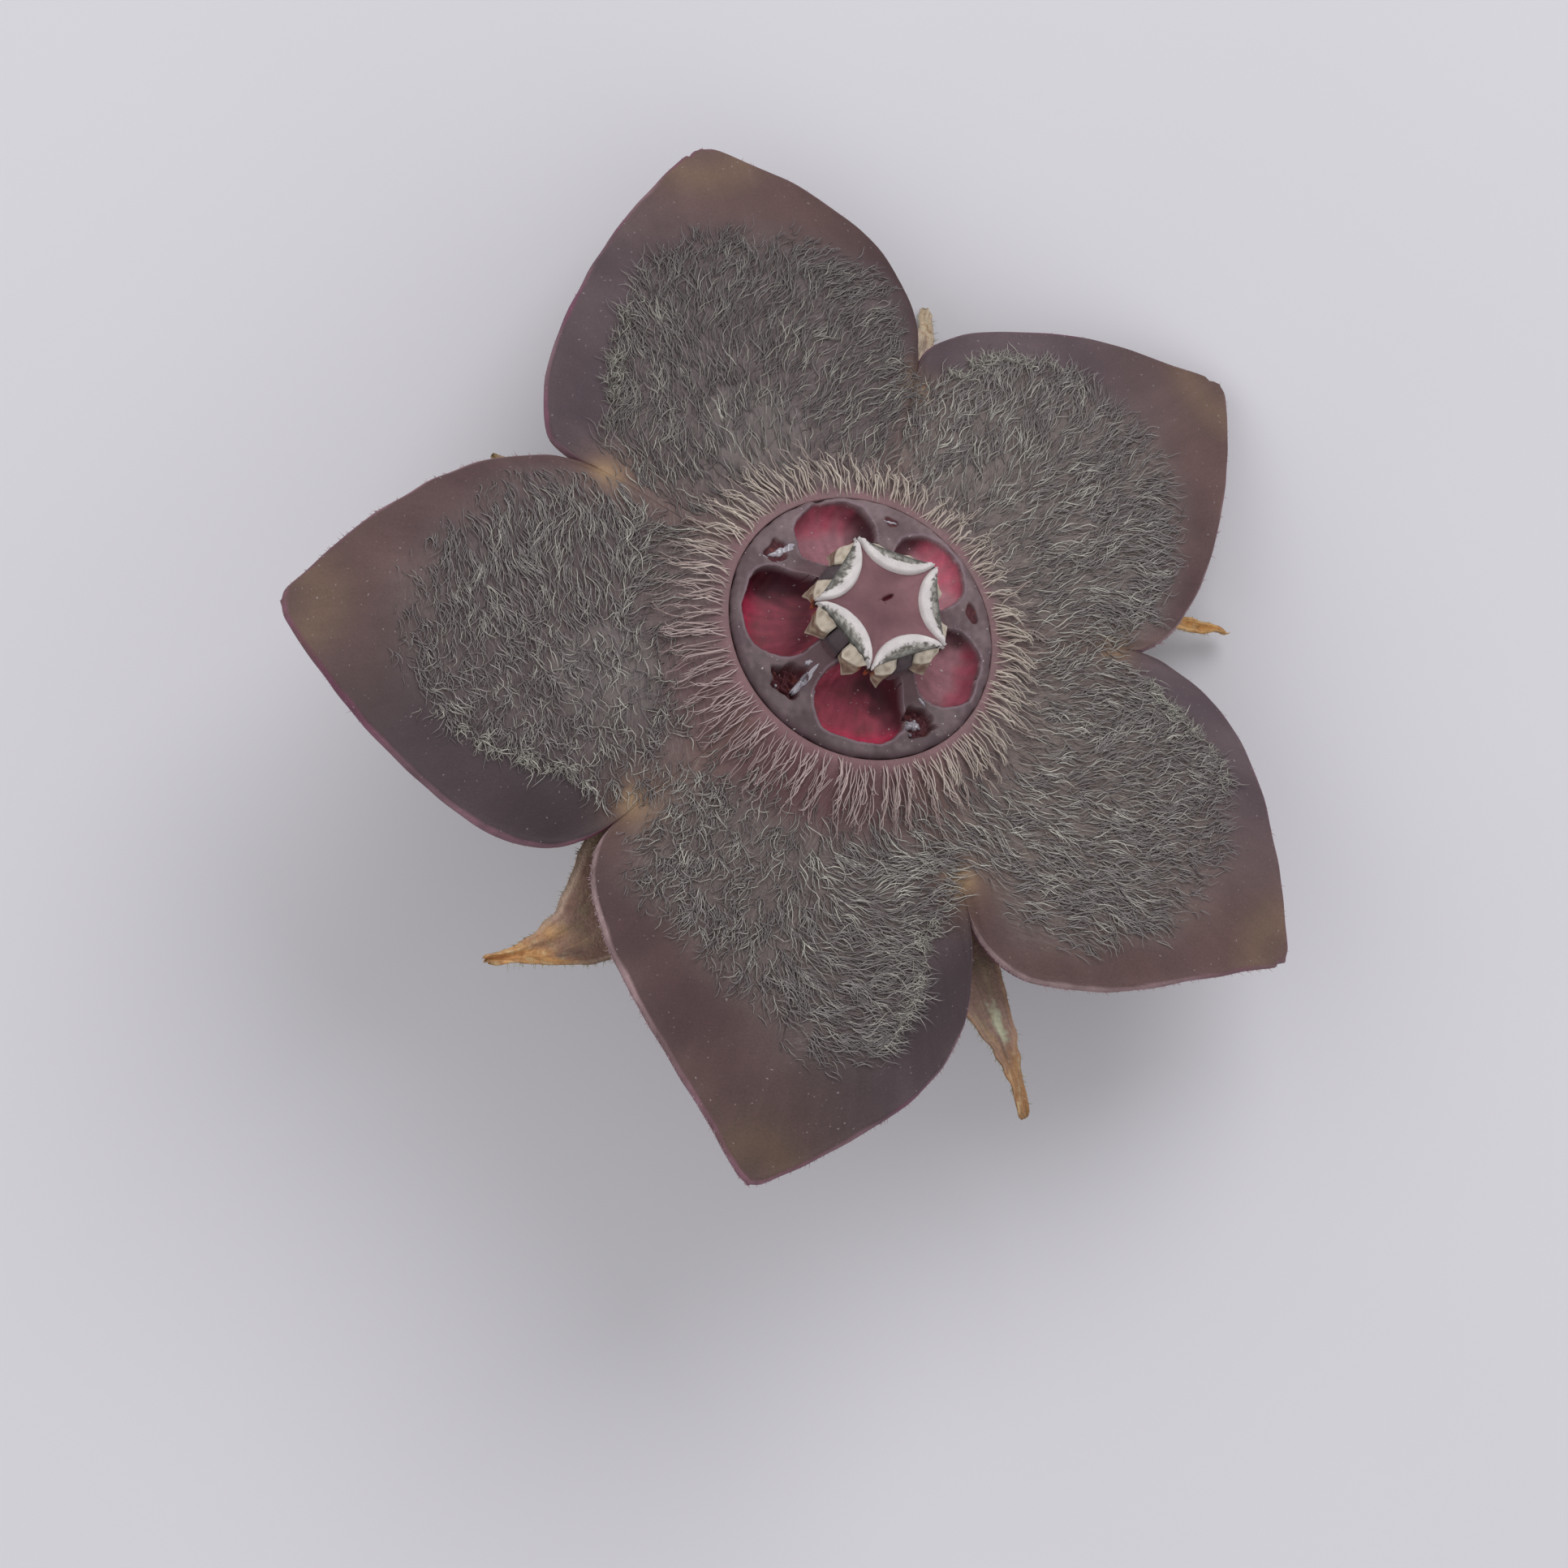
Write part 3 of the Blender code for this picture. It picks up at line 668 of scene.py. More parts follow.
def corolla_colours(index, side, share, points, rim, front):
    """Colour of the corolla's skin at its points; rim is the distance from the margin."""
    x, y = points[:, :2].T
    radius = np.hypot(x, y)
    blotch = ripple(x, y, 2.2, 21)
    fleck = ripple(x, y, 0.7, 22)
    if front:
        colour, edge_line = face_colours(index, side, share, points[:, :2], blotch, fleck)
    else:
        colour = blend("4e3a33", "624c3c", smooth(-0.6, 0.9, blotch + 0.3 * fleck))
        colour = paint(colour, ("463438", smooth(2.6, 1.0, rim) * 0.8),
                       ("7c6a48", smooth(5.5, 2.5, radius) * 0.5))
        edge_line = "7f5862"
    line = smooth(0.12, 0.04, rim + 0.02 * fleck) * (radius > THROAT)
    line *= 0.7 + 0.25 * ripple(x, y, 1.3, 23) + 0.2 * ripple(x, y, 0.2, 25)
    return blend(colour, edge_line, np.clip(line, 0, 1) * 0.95)


def make_corolla(spokes=620):
    """Five lobes grown together, with a rounded rim, laps at the notches and a ring round the seat."""
    turn = np.arange(spokes) / spokes * 5
    index = np.round(turn).astype(int) % 5
    offset = 2 * (turn - np.round(turn))
    offset = np.sign(offset) * (np.abs(offset) - 0.07 * np.sin(math.tau * np.abs(offset)))
    side = np.where(offset >= 0, 1.0, -1.0)
    share = np.abs(offset)
    throat, edge, heading = lobe_spokes(index, side, share)
    length = norm(edge - throat)
    steps = (0.55, 0.42, 0.31, 0.22, 0.15, 0.10, 0.055, 0.02, 0.0)       # inwards from the margin
    inner = np.array((0.6, 2.5, 3.8, 3.92, 3.94, 3.955, 3.97, SEAT_RADIUS, 4.01, 4.05, 4.13, 4.25, 4.4, 4.6))
    out = [part * (1 - steps[0] / length) for part in np.linspace(0, 1, 46)]
    out += [1 - step / length for step in steps[1:]]
    plane = np.concatenate((polar(heading, inner[:, None] + 0 * length), blend(throat, edge, np.array(out))))
    out = np.concatenate((np.zeros((len(inner), spokes)), out))
    rim = length * (1 - out)
    x, y = split(plane)
    uneven = np.stack((ripple(x, y, 1.1, 31), ripple(x, y, 1.1, 32)), -1)
    plane = plane + (smooth(0.6, 1.0, out) * (1 - share ** 6))[..., None] * uneven * 0.02
    roll = MARGIN_CURL * smooth(0.5, 1.0, out) ** 2 * (1 - share ** 4)
    thickness = COROLLA_THICKNESS + (MARGIN_THICKNESS - COROLLA_THICKNESS) * smooth(0.4, 1.0, out)
    middle = corolla_height(*split(plane)) - roll - thickness / 2
    closing = np.sqrt(1 - (1 - np.clip(rim / BEAD, 0, 1)) ** 2)
    bead = 0.03 * bump_at(rim, 0.14, 0.09) * (out > 0)
    half = np.maximum((thickness / 2 + bead) * closing, THINNEST)
    keel = 0.16 * bump_at(share, 0, 0.10) * smooth(0.0, 0.3, out) * smooth(1.0, 0.8, out)
    front = raised(plane, middle + half)
    back = raised(plane, middle - half - keel)
    rows = len(back)
    kept = np.append(np.arange(0, rows - 9, 3), np.arange(rows - 9, rows, 2))[::-1]
    tints, lobes, downs = [], [], []
    for skin, which in ((front, np.arange(rows)), (back[kept], kept)):
        is_front = len(which) == rows
        shape = len(which), spokes
        where = [np.broadcast_to(value, shape).ravel() for value in (index, side, share)]
        points = skin.reshape(-1, 3)
        tints.append(corolla_colours(*where, points, rim[which].ravel(), is_front))
        downs.append(down_lines(*where[:2], points[:, :2]) * (1, 1, is_front))
        across = np.broadcast_to(share * side * 16 + index * 40, shape)
        lobes.append(np.stack((across, out[which] * 2.2, np.full(shape, 7.0 * is_front)), -1).reshape(-1, 3))
    middles = np.zeros((2, 3))
    new_piece("corolla_skin", capped(np.concatenate((front, back[kept]))), "corolla", ["corolla"],
              np.concatenate((*tints, middles + rgb("503c38"))), lobe=np.concatenate((*lobes, middles)),
              down=np.concatenate((*downs, middles)))
    return BVHTree.FromPolygons(front.reshape(-1, 3).tolist(), quads(rows, spokes, True).tolist())


# ---------------------------------------------------------------- wool

def skin_height(skin, x, y):
    """Height of the corolla's finished face at points of its plane, and whether it reaches there."""
    height = (corolla_height(x, y) - MARGIN_CURL).ravel()
    found = np.zeros(height.shape, bool)
    down = Vector((0, 0, -1))
    for row, place in enumerate(zip(x.ravel().tolist(), y.ravel().tolist())):
        hit = skin.ray_cast(Vector((*place, 6)), down)[0]
        if hit:
            height[row] = hit.z
            found[row] = True
    return height.reshape(x.shape), found.reshape(x.shape)


def lying_hairs(skin, spot, heading, length, bend, wave, phase, lift, knots):
    """Paths of hairs that lie along the corolla: spots and headings of their roots, how much they bend and
    curl, in radians, and how high they stand over it. Hairs that would pass the margin are cut short."""
    t = np.linspace(0, 1, knots)[None, :]
    turns = RNG.uniform(0.7, 1.2, (len(spot), 1))
    curve = np.sin(math.tau * turns * t + phase[:, None])
    course = heading[:, None] + bend[:, None] * (t - 0.2) + wave[:, None] * curve
    steps = np.stack((np.cos(course), np.sin(course)), -1) * length[:, None, None] / (knots - 1)
    way = np.cumsum(steps, 1) - steps
    found = skin_height(skin, *split(spot[:, None] + way))[1]
    part = np.where(found.all(1), 1, 0.8 * found.argmin(1) / (knots - 1))[:, None, None]
    plane = spot[:, None] + way * part
    stand = lift[:, None] * np.sin(math.pi * np.minimum(t * 0.85, 0.6))
    return raised(plane, skin_height(skin, *split(plane))[0] + stand - 0.03 * (t < 0.1))


def hair_tints(level, knots, dull, bright):
    """Colours of hairs between a dull and a bright one, darker at the root."""
    along = np.linspace(0, 1, per_hair(knots))[None, :, None]
    return (blend(dull, bright, level)[:, None, :] * (0.8 + 0.2 * np.minimum(1, along * 2.5))).reshape(-1, 3)


def scatter(number, wanted):
    """Roots of a lobe's hairs, closer together where it is woollier: place, offset from the midline (-1 to 1)
    and how fully grown each hair is, from 0 at the patch's border."""
    tries = wanted * 12
    offset = RNG.uniform(-1, 1, tries)
    out = RNG.random(tries) ** 0.75
    index = np.full(tries, number)
    side = np.where(offset >= 0, 1.0, -1.0)
    share = np.abs(offset)
    spot = lobe_spot(index, side, share, out)
    beside = lobe_spot(index, side, np.clip(share + 0.01, 0, 1), out) - spot
    further = lobe_spot(index, side, share, np.clip(out + 0.01, 0, 1)) - spot
    room = np.abs(beside[:, 0] * further[:, 1] - beside[:, 1] * further[:, 0]) * np.maximum(out, 0.02) ** 0.33
    inside, _, nearest_side = wool_cover(index, spot)
    radius = norm(spot)
    tip = from_tip(spot, number) - BARE[number, 4]
    cover = smooth(-0.2, np.where(nearest_side > 0, 0.25, 1.2), inside) * (0.45 + 0.55 * smooth(0, 2.5, tip))
    cover *= 1 - 0.6 * smooth(0.8, 1.0, share) * smooth(9, 7.5, radius)
    cover *= 1 - (0.25 * facing(LOBES[number, 0] + offset * 30, LOWER_LEFT) - 0.2) * smooth(6.6, 5.0, radius)
    for notch, reach in NOTCHES:
        cover *= 1 - 0.6 * bump_at(norm(spot - polar(notch, reach - NOTCH_SPOT)), 0, 0.4)
    cover *= 0.7 + 0.3 * ripple(*spot.T, 0.9, 41 + number)
    curly = np.where(offset > 0, WOOL[number, 3], WOOL[number, 2])
    cover *= 1 - 0.2 * smooth(0.5, 0.9, curly) * smooth(0, 0.3, share)
    weight = room * np.clip(cover, 0, None)
    chosen = RNG.choice(tries, wanted, False, weight / weight.sum())
    grown = np.where(nearest_side > 0, 1.0, smooth(-0.1, 1.0, inside)) * smooth(0, 2.6, tip)
    return spot[chosen], offset[chosen], grown[chosen]


def wool_coat(skin, number, count, knots, longest, high, dull, bright, rarity):
    """Hairs of one coat of a lobe and their colours."""
    before, after, curl_before, curl_after = WOOL[number]
    # tone: the painted light and shade of the lobe, on its wool
    tone = TONES[number, 3]
    spot, offset, grown = scatter(number, count)
    spot = spot + 0.15 * np.stack((ripple(*spot.T, 0.4, 61), ripple(*spot.T, 0.4, 62)), -1)
    halves = smooth(-0.35, 0.35, offset)
    radius, radial = from_plane(*spot.T)
    swirl = 16 * ripple(*spot.T, 1.6, 51 + number) + 14 * ripple(*spot.T, 0.6, 56 + number)
    degrees = LOBES[number, 0] + before + (after - before) * halves + swirl
    degrees = degrees + turn_between(degrees, radial) * smooth(7.4, 5.2, radius) * 0.75
    curl = curl_before + (curl_after - curl_before) * halves
    heading = np.radians(degrees) + RNG.normal(0, 0.10 + 0.42 * curl, count)
    length = RNG.uniform(0.5 * longest, longest, count) * (1 - 0.4 * curl) * (0.65 + 0.35 * grown)
    bend = RNG.normal(0, 0.2 + 0.75 * curl, count)
    wave = RNG.uniform(0.2, 0.55, count) * (0.8 + 0.4 * curl)
    phase = 3 * ripple(*spot.T, 0.9, 131 + number) + RNG.normal(0, 0.5, count)
    lift = RNG.uniform(0.35, 1.0, count) * high
    paths = lying_hairs(skin, spot, heading, length, bend, wave, phase, lift, knots)
    level = RNG.random(count) ** rarity * (0.25 + 0.75 * grown) * (0.8 + 0.35 * ripple(*spot.T, 0.8, 66))
    level = np.clip(level * (1.15 - 0.4 * smooth(6.5, 11, radius)), 0, 1)
    tints = hair_tints(level, knots, rgb(dull) * tone, rgb(bright) * tone)
    return tubes(paths, RNG.uniform(0.75, 1.25, count) * HAIR_RADIUS), tints


def wool_fringe(skin, number, count=150, knots=6):
    """Short curled hairs along the border that the neighbouring lobe covered in the bud, and their colours."""
    share = RNG.uniform(0, 1, FRINGE_TRIES)
    out = RNG.uniform(0.3, 1, FRINGE_TRIES)
    index = np.full(FRINGE_TRIES, number)
    spot = lobe_spot(index, np.ones(FRINGE_TRIES), share, out)
    inside, nearest, nearest_side = wool_cover(index, spot)
    border = (np.abs(inside - 0.08) < 0.10) & (ripple(*spot.T, 0.35, 141 + number) > -0.3)
    border &= (nearest_side > 0) & (nearest < 0.97) & (RNG.random(FRINGE_TRIES) < smooth(0.35, 0.7, nearest))
    spot = spot[RNG.choice(np.flatnonzero(border), count)]
    heading = np.radians(LOBES[number, 0] + WOOL[number, 1]) + RNG.normal(0, 0.8, count)
    length = RNG.uniform(0.3, 0.65, count)
    bend = RNG.normal(0, 1.8, count)
    wave = RNG.uniform(0.3, 0.9, count)
    phase = RNG.uniform(0, math.tau, count)
    lift = RNG.uniform(0.1, 0.3, count)
    paths = lying_hairs(skin, spot, heading, length, bend, wave, phase, lift, knots)
    # tone: the painted light and shade of the lobe, on its fringe
    tone = TONES[number, 3]
    tints = hair_tints(RNG.random(count) ** 1.5, knots, rgb("7f7b77") * tone, rgb("bdbbb0") * tone)
    return tubes(paths, RNG.uniform(0.014, 0.021, count)), tints


def make_wool(skin, number):
    """Curled silvery hairs of one lobe: a dull undercoat, brighter long hairs, and a fringe on one border."""
    coats = [wool_coat(skin, number, *coat) for coat in COATS] + [wool_fringe(skin, number)]
    hairs, tints = zip(*coats)
    new_piece(f"lobe_hair_{number + 1}", join(hairs), "corolla", (), np.concatenate(tints), "hair")


def make_ring_hair(skin, knots=7):
    """Pale hairs round the corona, in tufts that run together towards their tips."""
    tufts = []
    for row, (around, radius, reach, level) in enumerate(RING_HAIRS):
        for tuft in range(around):
            middle = 360 * (tuft + 0.37 * row) / around + RNG.normal(0, 1.0)
            many = RNG.integers(2, 4)
            length = reach * RNG.uniform(0.75, 1.15)
            headings = middle + np.linspace(-1, 1, many) * RNG.uniform(0.8, 1.8) + RNG.normal(0, 0.3, many)
            begin = radius + RNG.normal(0, 0.05, many)
            lean = RNG.normal(0, 2.2)
            join_at = RNG.uniform(0.5, 0.85)
            end_heading = middle + lean + RNG.normal(0, 1.0, many)
            end = polar(end_heading, radius + length * RNG.uniform(0.85, 1.05, many))
            meet = polar(middle + lean * join_at, radius + length * join_at) + RNG.normal(0, 0.025, (many, 2))
            low = facing(middle, 180)
            ones = np.ones(many)
            bright = level * RNG.uniform(0.6, 1.05) * (1 - 0.15 * low)
            thick = (0.029 - 0.003 * row) * (1 - 0.2 * low)
            tufts.append((polar(headings, begin), meet, end, ones * bright, ones * low, ones * thick))
    roots, joints, ends, bright, warm, thick = (np.concatenate(part) for part in zip(*tufts))
    count = len(roots)
    t = np.linspace(0, 1, knots)[None, :, None]
    bow = joints * 2 - (roots + ends) / 2
    plane = (1 - t) ** 2 * roots[:, None] + 2 * t * (1 - t) * bow[:, None] + t ** 2 * ends[:, None]
    aside = ((ends - roots) @ ((0, 1), (-1, 0)))[:, None]
    phase = RNG.uniform(0, math.tau, (count, 1, 1))
    kinks = 0.035 * np.sin(math.tau * 1.3 * t + phase) + 0.015 * np.sin(math.tau * 2.9 * t + 2 * phase)
    plane = plane + aside * kinks * np.minimum(1, 4 * t)
    t = t[..., 0]
    stand = RNG.uniform(0.12, 0.4, (count, 1)) * np.sin(math.pi * 0.75 * t)
    height = skin_height(skin, *split(plane))[0] + 0.03 + stand - 0.06 * (t == 0)
    tint = blend("927d7c", blend("d9d1c3", "d6c3c3", warm), bright)[:, None]
    tint = blend(blend("8d6c6f", tint, 0.65), tint, np.linspace(0, 1, per_hair(knots)))
    hairs = tubes(raised(plane, height), thick * RNG.uniform(0.8, 1.2, count), 0.65)
    new_piece("ring_hair", hairs, "corolla", (), tint.reshape(-1, 3), "hair")


# ---------------------------------------------------------------- corona

def cup_edge(number, radius, heading):
    """0 at the middle of a cup and 1 on its rim, and how far out from its middle points lie."""
    outer, half_width = CUPS[number, 1:3]
    before, middle, after = (STAR_HEADING + 72 * (number + step) + CUPS[(number + step) % 5, 0]
                             for step in (-1, 0, 1))
    aside = np.radians(turn_between(middle, heading))
    away = radius * np.cos(aside) - CUP_MIDDLE
    across = np.abs(radius * np.sin(aside)) / half_width
    along = np.abs(away) / np.where(away > 0, outer - CUP_MIDDLE, CUP_HALF_LENGTH)
    oval = (across ** 2.6 + along ** 2.6) ** (1 / 2.6)
    turns = turn_between((before + middle) / 2, heading), turn_between(heading, (middle + after) / 2)
    from_ribs = radius * np.sin(np.radians(np.clip(turns, -90, 90))).min(0)
    beside = 1 + (RIB_HALF_WIDTH - from_ribs) / 0.5
    return (oval ** 6 + np.maximum(beside, 0) ** 6) ** (1 / 6), away


def cup_wobble(x, y):
    """Unevenness of the cups' rims."""
    return 0.03 * ripple(x, y, 0.7, 61) + 0.012 * ripple(x, y, 0.2, 62)


def corona_relief(radius, heading):
    """Height of the corona's top, and at its points the shares of cup, cup rim and pit, the distance out from
    the cup's middle, and the cup's number."""
    cup, lip, pit, outward = np.zeros((4, *radius.shape))
    which = np.zeros(radius.shape, int)
    x, y = radius * np.cos(np.radians(heading)), radius * np.sin(np.radians(heading))
    wobble = cup_wobble(x, y)
    rise = RIB_RISE * smooth(2.75, 1.75, radius)
    height = RIM_HEIGHT + rise
    for number in range(5):
        edge, away = cup_edge(number, radius, heading)
        edge = edge + wobble
        here = edge < 1
        deep = CUPS[number, 4] * (1 - 0.45 * smooth(0.5, -1.1, away))
        bowl = (1 - np.clip(edge, 0, 1) ** 5.5) ** 0.65
        height = np.where(here, height - (deep + rise) * bowl, height)
        cup = np.where(here, smooth(1.0, 0.95, edge), cup)
        outward = np.where(here, away, outward)
        which = np.where(here, number, which)
        lip = np.maximum(lip, bump_at(edge, 1.03, 0.03))
    for turn, middle, deep, length, width in PITS:
        aside = np.radians(turn_between(turn, heading))
        away = (radius * np.cos(aside) - middle) / length
        broad = width * (1 + 0.35 * np.clip(away, -1, 1))
        edge = np.hypot(away, radius * np.sin(aside) / broad) + 0.14 * ripple(x, y, 0.25, 63)
        inside = smooth(1.0, 0.85, edge) * (1 - cup) * (np.cos(aside) > 0)
        pit = np.maximum(pit, inside)
        height -= deep * inside * (0.75 + 0.25 * ripple(x, y, 0.12, 60))
    height += (0.02 * lip + 0.005 * ripple(x, y, 0.35, 64)) * (1 - cup)
    return height, cup, lip, pit, outward, which


def cup_flesh(x, y, height, cup, outward, which, fleck):
    """Crimson flesh of the cups, duller and pinker towards the star, with a side painted in shade and painted
    shade deep in each cup towards the star.
    """
    turn, pink, shaded_side_heading, gain = CUPS[which][:, :, (0, 3, 5, 6)].transpose(2, 0, 1)
    from_middle = np.stack((x, y), -1) - polar(STAR_HEADING + 72 * which + turn, CUP_MIDDLE + 0.1)
    # painted shade: the dark side of each cup, where its wall shades it
    toward = (from_middle * polar(shaded_side_heading, 1.0)).sum(-1) + 0.12 * ripple(x, y, 0.4, 74)
    radius, heading = from_plane(x, y)
    streak = ripple(np.radians(heading) * 3.2, radius * 0.25, 0.16, 68, 14)
    wall = smooth(0.1 + 0.35 * pink, 0.9, outward + 0.08 * ripple(x, y, 0.5, 69))
    stain = smooth(0.2, 1.3, ripple(x, y, 0.45, 70) + 0.4 * fleck) * (0.5 - 0.4 * pink)
    # pink: partly the flesh's own duller tone, partly a painted sheen of the sky on the paler cups
    flesh = paint(blend("8a3547", "a2717a", pink),
                  (blend("a52246", "a04f60", pink), wall * (0.85 + 0.15 * streak)), ("5e3a3a", stain))
    flesh = flesh * (1 + 0.10 * streak + 0.06 * fleck)[..., None]
    # painted shade deep in each cup, strongest towards the star
    shade = smooth(RIM_HEIGHT - 0.05, RIM_HEIGHT - 0.35, height) * (1 - wall) * smooth(0.6, 0.95, cup)
    shade *= (smooth(0.0, -0.8, outward) * 0.35 + 0.15) * (1 - 0.6 * pink)
    # gain: painted light, each cup made lighter or darker for the light that falls in it
    flesh = blend(flesh, "3b1d24", shade) * gain[..., None]
    # painted shade on each cup's dark side
    return blend(flesh, "2b131b", smooth(0.35, 0.95, toward) * 0.85)


def corona_colours(x, y, height, cup, lip, pit, outward, which):
    """Slate rim, painted lighter towards the lean as painted light, with painted shade along its outer edge away
    from the lean, crimson cups and dark pits.
    """
    radius = np.hypot(x, y)
    fleck = ripple(x, y, 0.16, 67, 16)
    colour = blend("5d4d51", "6f5f62", smooth(-0.8, 0.8, ripple(x, y, 0.9, 66) + 0.3 * fleck))
    # painted light: the rim lighter towards the lean
    lit = (np.stack((x, y), -1) * polar(25, 1 / CORONA_RADIUS)).sum(-1)
    colour = colour * (0.97 + 0.26 * lit + 0.05 * fleck)[..., None]
    hollow = blend("4b1f26", "7a4038", smooth(0.5, 1.3, fleck) * 0.7)
    # painted shade along the rim's outer edge, strongest away from the lean
    return paint(colour, ("3e2c31", smooth(3.7, 3.92, radius) * (0.4 - 0.4 * lit)),
                 ("594448", smooth(2.9, 2.3, radius) * 0.8),
                 (cup_flesh(x, y, height, cup, outward, which, fleck), cup),
                 # painted highlight: a pale line where light catches the cups' lips
                 ("85727a", lip * (1 - cup) * 0.6), (hollow, pit * 0.92))


def snap_to_cups(radius, turn, step=0.004):
    """Moves the grid's points that lie by a cup's rim onto the rim, so that the rims come out crisp."""
    x, y = split(polar(turn, radius))

    def past_rim(number, x, y):
        return cup_edge(number, *from_plane(x, y))[0] + cup_wobble(x, y) - 1

    for number in range(5):
        past = past_rim(number, x, y)
        slope_x = (past_rim(number, x + step, y) - past) / step
        slope_y = (past_rim(number, x, y + step) - past) / step
        steepness = slope_x ** 2 + slope_y ** 2
        radius = np.hypot(x, y)
        near = (np.abs(past) < 0.022 * np.sqrt(steepness)) & (radius < 3.8) & (radius > 1.1)
        shift = np.where(near, past / np.maximum(steepness, 1e-9), 0)
        x = x - shift * slope_x
        y = y - shift * slope_y
    return from_plane(x, y)


def make_corona(spokes=430):
    """Fleshy ring with five crimson cups and the nectar pits between them."""
    heading = spokes_round(spokes)
    radius, turn = snap_to_cups(*grid(np.linspace(HUB_RADIUS, TOP_EDGE, CORONA_RINGS), heading))
    height, *shares = corona_relief(radius, turn)
    side, drop = np.array(SHOULDER).T
    side, side_turn = grid(side, heading)
    radius = np.concatenate((radius, side))
    turn = np.concatenate((turn, side_turn))
    height = np.concatenate((height, height[-1] + drop[:, None]))
    shares = [np.concatenate((part, np.zeros(side.shape, part.dtype))) for part in shares]
    flat = polar(turn, radius)
    crenate = ripple(*split(flat), 0.3, 65) * smooth(3.7, 3.92, radius)
    flat = flat * (1 + 0.005 * crenate)[..., None]
    back_radius, back_turn = grid((3.6, 3.0, 1.0), heading)
    back = raised(polar(back_turn, back_radius), np.full(back_turn.shape, CORONA_FOOT))
    tint = corona_colours(*split(flat), height, *shares).reshape(-1, 3)
    bottom = np.tile(rgb("5d4d52"), (back_turn.size + 2, 1))
    new_piece("corona_flesh", capped(np.concatenate((raised(flat, height), back))), "corona", ["corona"],
              np.concatenate((tint, bottom)))


def make_nectar(rings=8, spokes=44):
    """Wet drops in the pits and a few on the cups, glossy, and coloured pale lavender-grey as painted glints."""
    skins = []
    share, turn = grid(np.linspace(0.1, 1, rings), np.radians(spokes_round(spokes)))
    for number, (heading, radius, length, width, slant, thick) in enumerate(DROPS):
        jagged = 1 + 0.24 * np.sin(2 * turn + number) + 0.16 * np.sin(5 * turn + 2 * number)
        jagged = (jagged + 0.08 * np.sin(9 * turn + 3 * number)) * share
        drop = np.stack((jagged * length * np.cos(turn), jagged * width * np.sin(turn)), -1)
        flat = polar(heading, radius) + drop @ polar(heading + slant + np.array((0, 90)), 1.0)
        ground = corona_relief(*from_plane(*split(flat)))[0]
        top = ground * 0.4 + ground.mean() * 0.6 + thick * np.sqrt(1 - share ** 3)
        top = np.maximum(top, ground + 0.01 * (1 - share))
        back = raised(flat, np.minimum(ground, top) - 0.03)[[-1, 0]]
        skins.append(capped(np.concatenate((raised(flat, top), back))))
    skin = join(skins)
    # painted glint: the drops' pale colour stands in for the sky reflected in the nectar
    new_piece("nectar", skin, "corona", (), np.tile(rgb("99949d"), (len(skin[0]), 1)), "nectar")


# ---------------------------------------------------------------- star, anthers, column

def make_style_head(rings=60, spokes=300):
    """Smooth five-pointed plate with a slit at its middle and faint creases."""
    share, turn = grid(np.linspace(0.02, 1, rings) ** 0.9, spokes_round(spokes))
    offset = turn_between(STAR_HEADING + 36, turn) % 72
    offset = np.abs(np.where(offset > 36, offset - 72, offset))
    waist = HEAD_TIP * math.cos(math.radians(36)) - HEAD_SAG
    flat = polar(turn, share * (waist + (HEAD_TIP - waist) * (offset / 36) ** 1.8))
    x, y = split(flat)
    radius = np.hypot(x, y)
    slit_x, slit_y = x - 0.20, y - 0.07
    along = slit_x * math.cos(SLIT_HEADING) + slit_y * math.sin(SLIT_HEADING)
    across = slit_y * math.cos(SLIT_HEADING) - slit_x * math.sin(SLIT_HEADING)
    slit_width = 0.055 * np.sqrt(np.clip(1 - (along / SLIT_LENGTH) ** 2, 0.003, 1))
    slit = bump_at(across, 0, slit_width) * (np.abs(along) < SLIT_LENGTH + 0.01)
    crease = bump_at(across + 0.05 * np.sin(along / 0.2), 0, 0.03) * smooth(0.36, 0.18, np.abs(along + 0.05))
    ridges = bump_at(offset, 36, 5.0) * smooth(0.5, 1.3, radius)
    top = HEAD_TOP - 0.12 * slit - 0.015 * crease + 0.03 * ridges
    top += 0.02 * ripple(x, y, 0.6, 71) + 0.03 * smooth(1.0, 0.2, radius) - 0.22 * smooth(0.93, 1.0, share) ** 2
    under = HEAD_TOP - HEAD_THICKNESS + 0.12 * smooth(0.85, 1.0, share) ** 2
    colour = blend("7e5a5f", "6b4a50", smooth(-0.7, 0.9, ripple(x, y, 0.9, 72)))
    grain = 0.12 * smooth(0.4, 1.2, ripple(x, y, 0.12, 73, 14))
    colour = paint(colour, ("5f4046", bump_at(radius, 0.2, 0.45) * 0.5), ("7c595f", ridges * 0.35 + grain),
                   # darker crease and slit: painted shade in these hollows
                   ("4d3138", crease * 0.45), ("4a0f1c", np.clip(slit * 1.5, 0, 1)))
    kept = [rings - 1, rings - 2, rings - 4, rings // 2, 0]
    under_colour = np.tile(rgb("4e343a"), (len(kept) * spokes + 2, 1))
    new_piece("star", capped(np.concatenate((raised(flat, top), raised(flat, under)[kept]))), "style_head",
              ["style_head"], np.concatenate((colour.reshape(-1, 3), under_colour)))


def spin_points(points, degrees):
    """Turns points round the flower's axis."""
    return np.concatenate((points[:, :2] @ polar(degrees + np.array((0, 90)), 1.0), points[:, 2:]), 1)


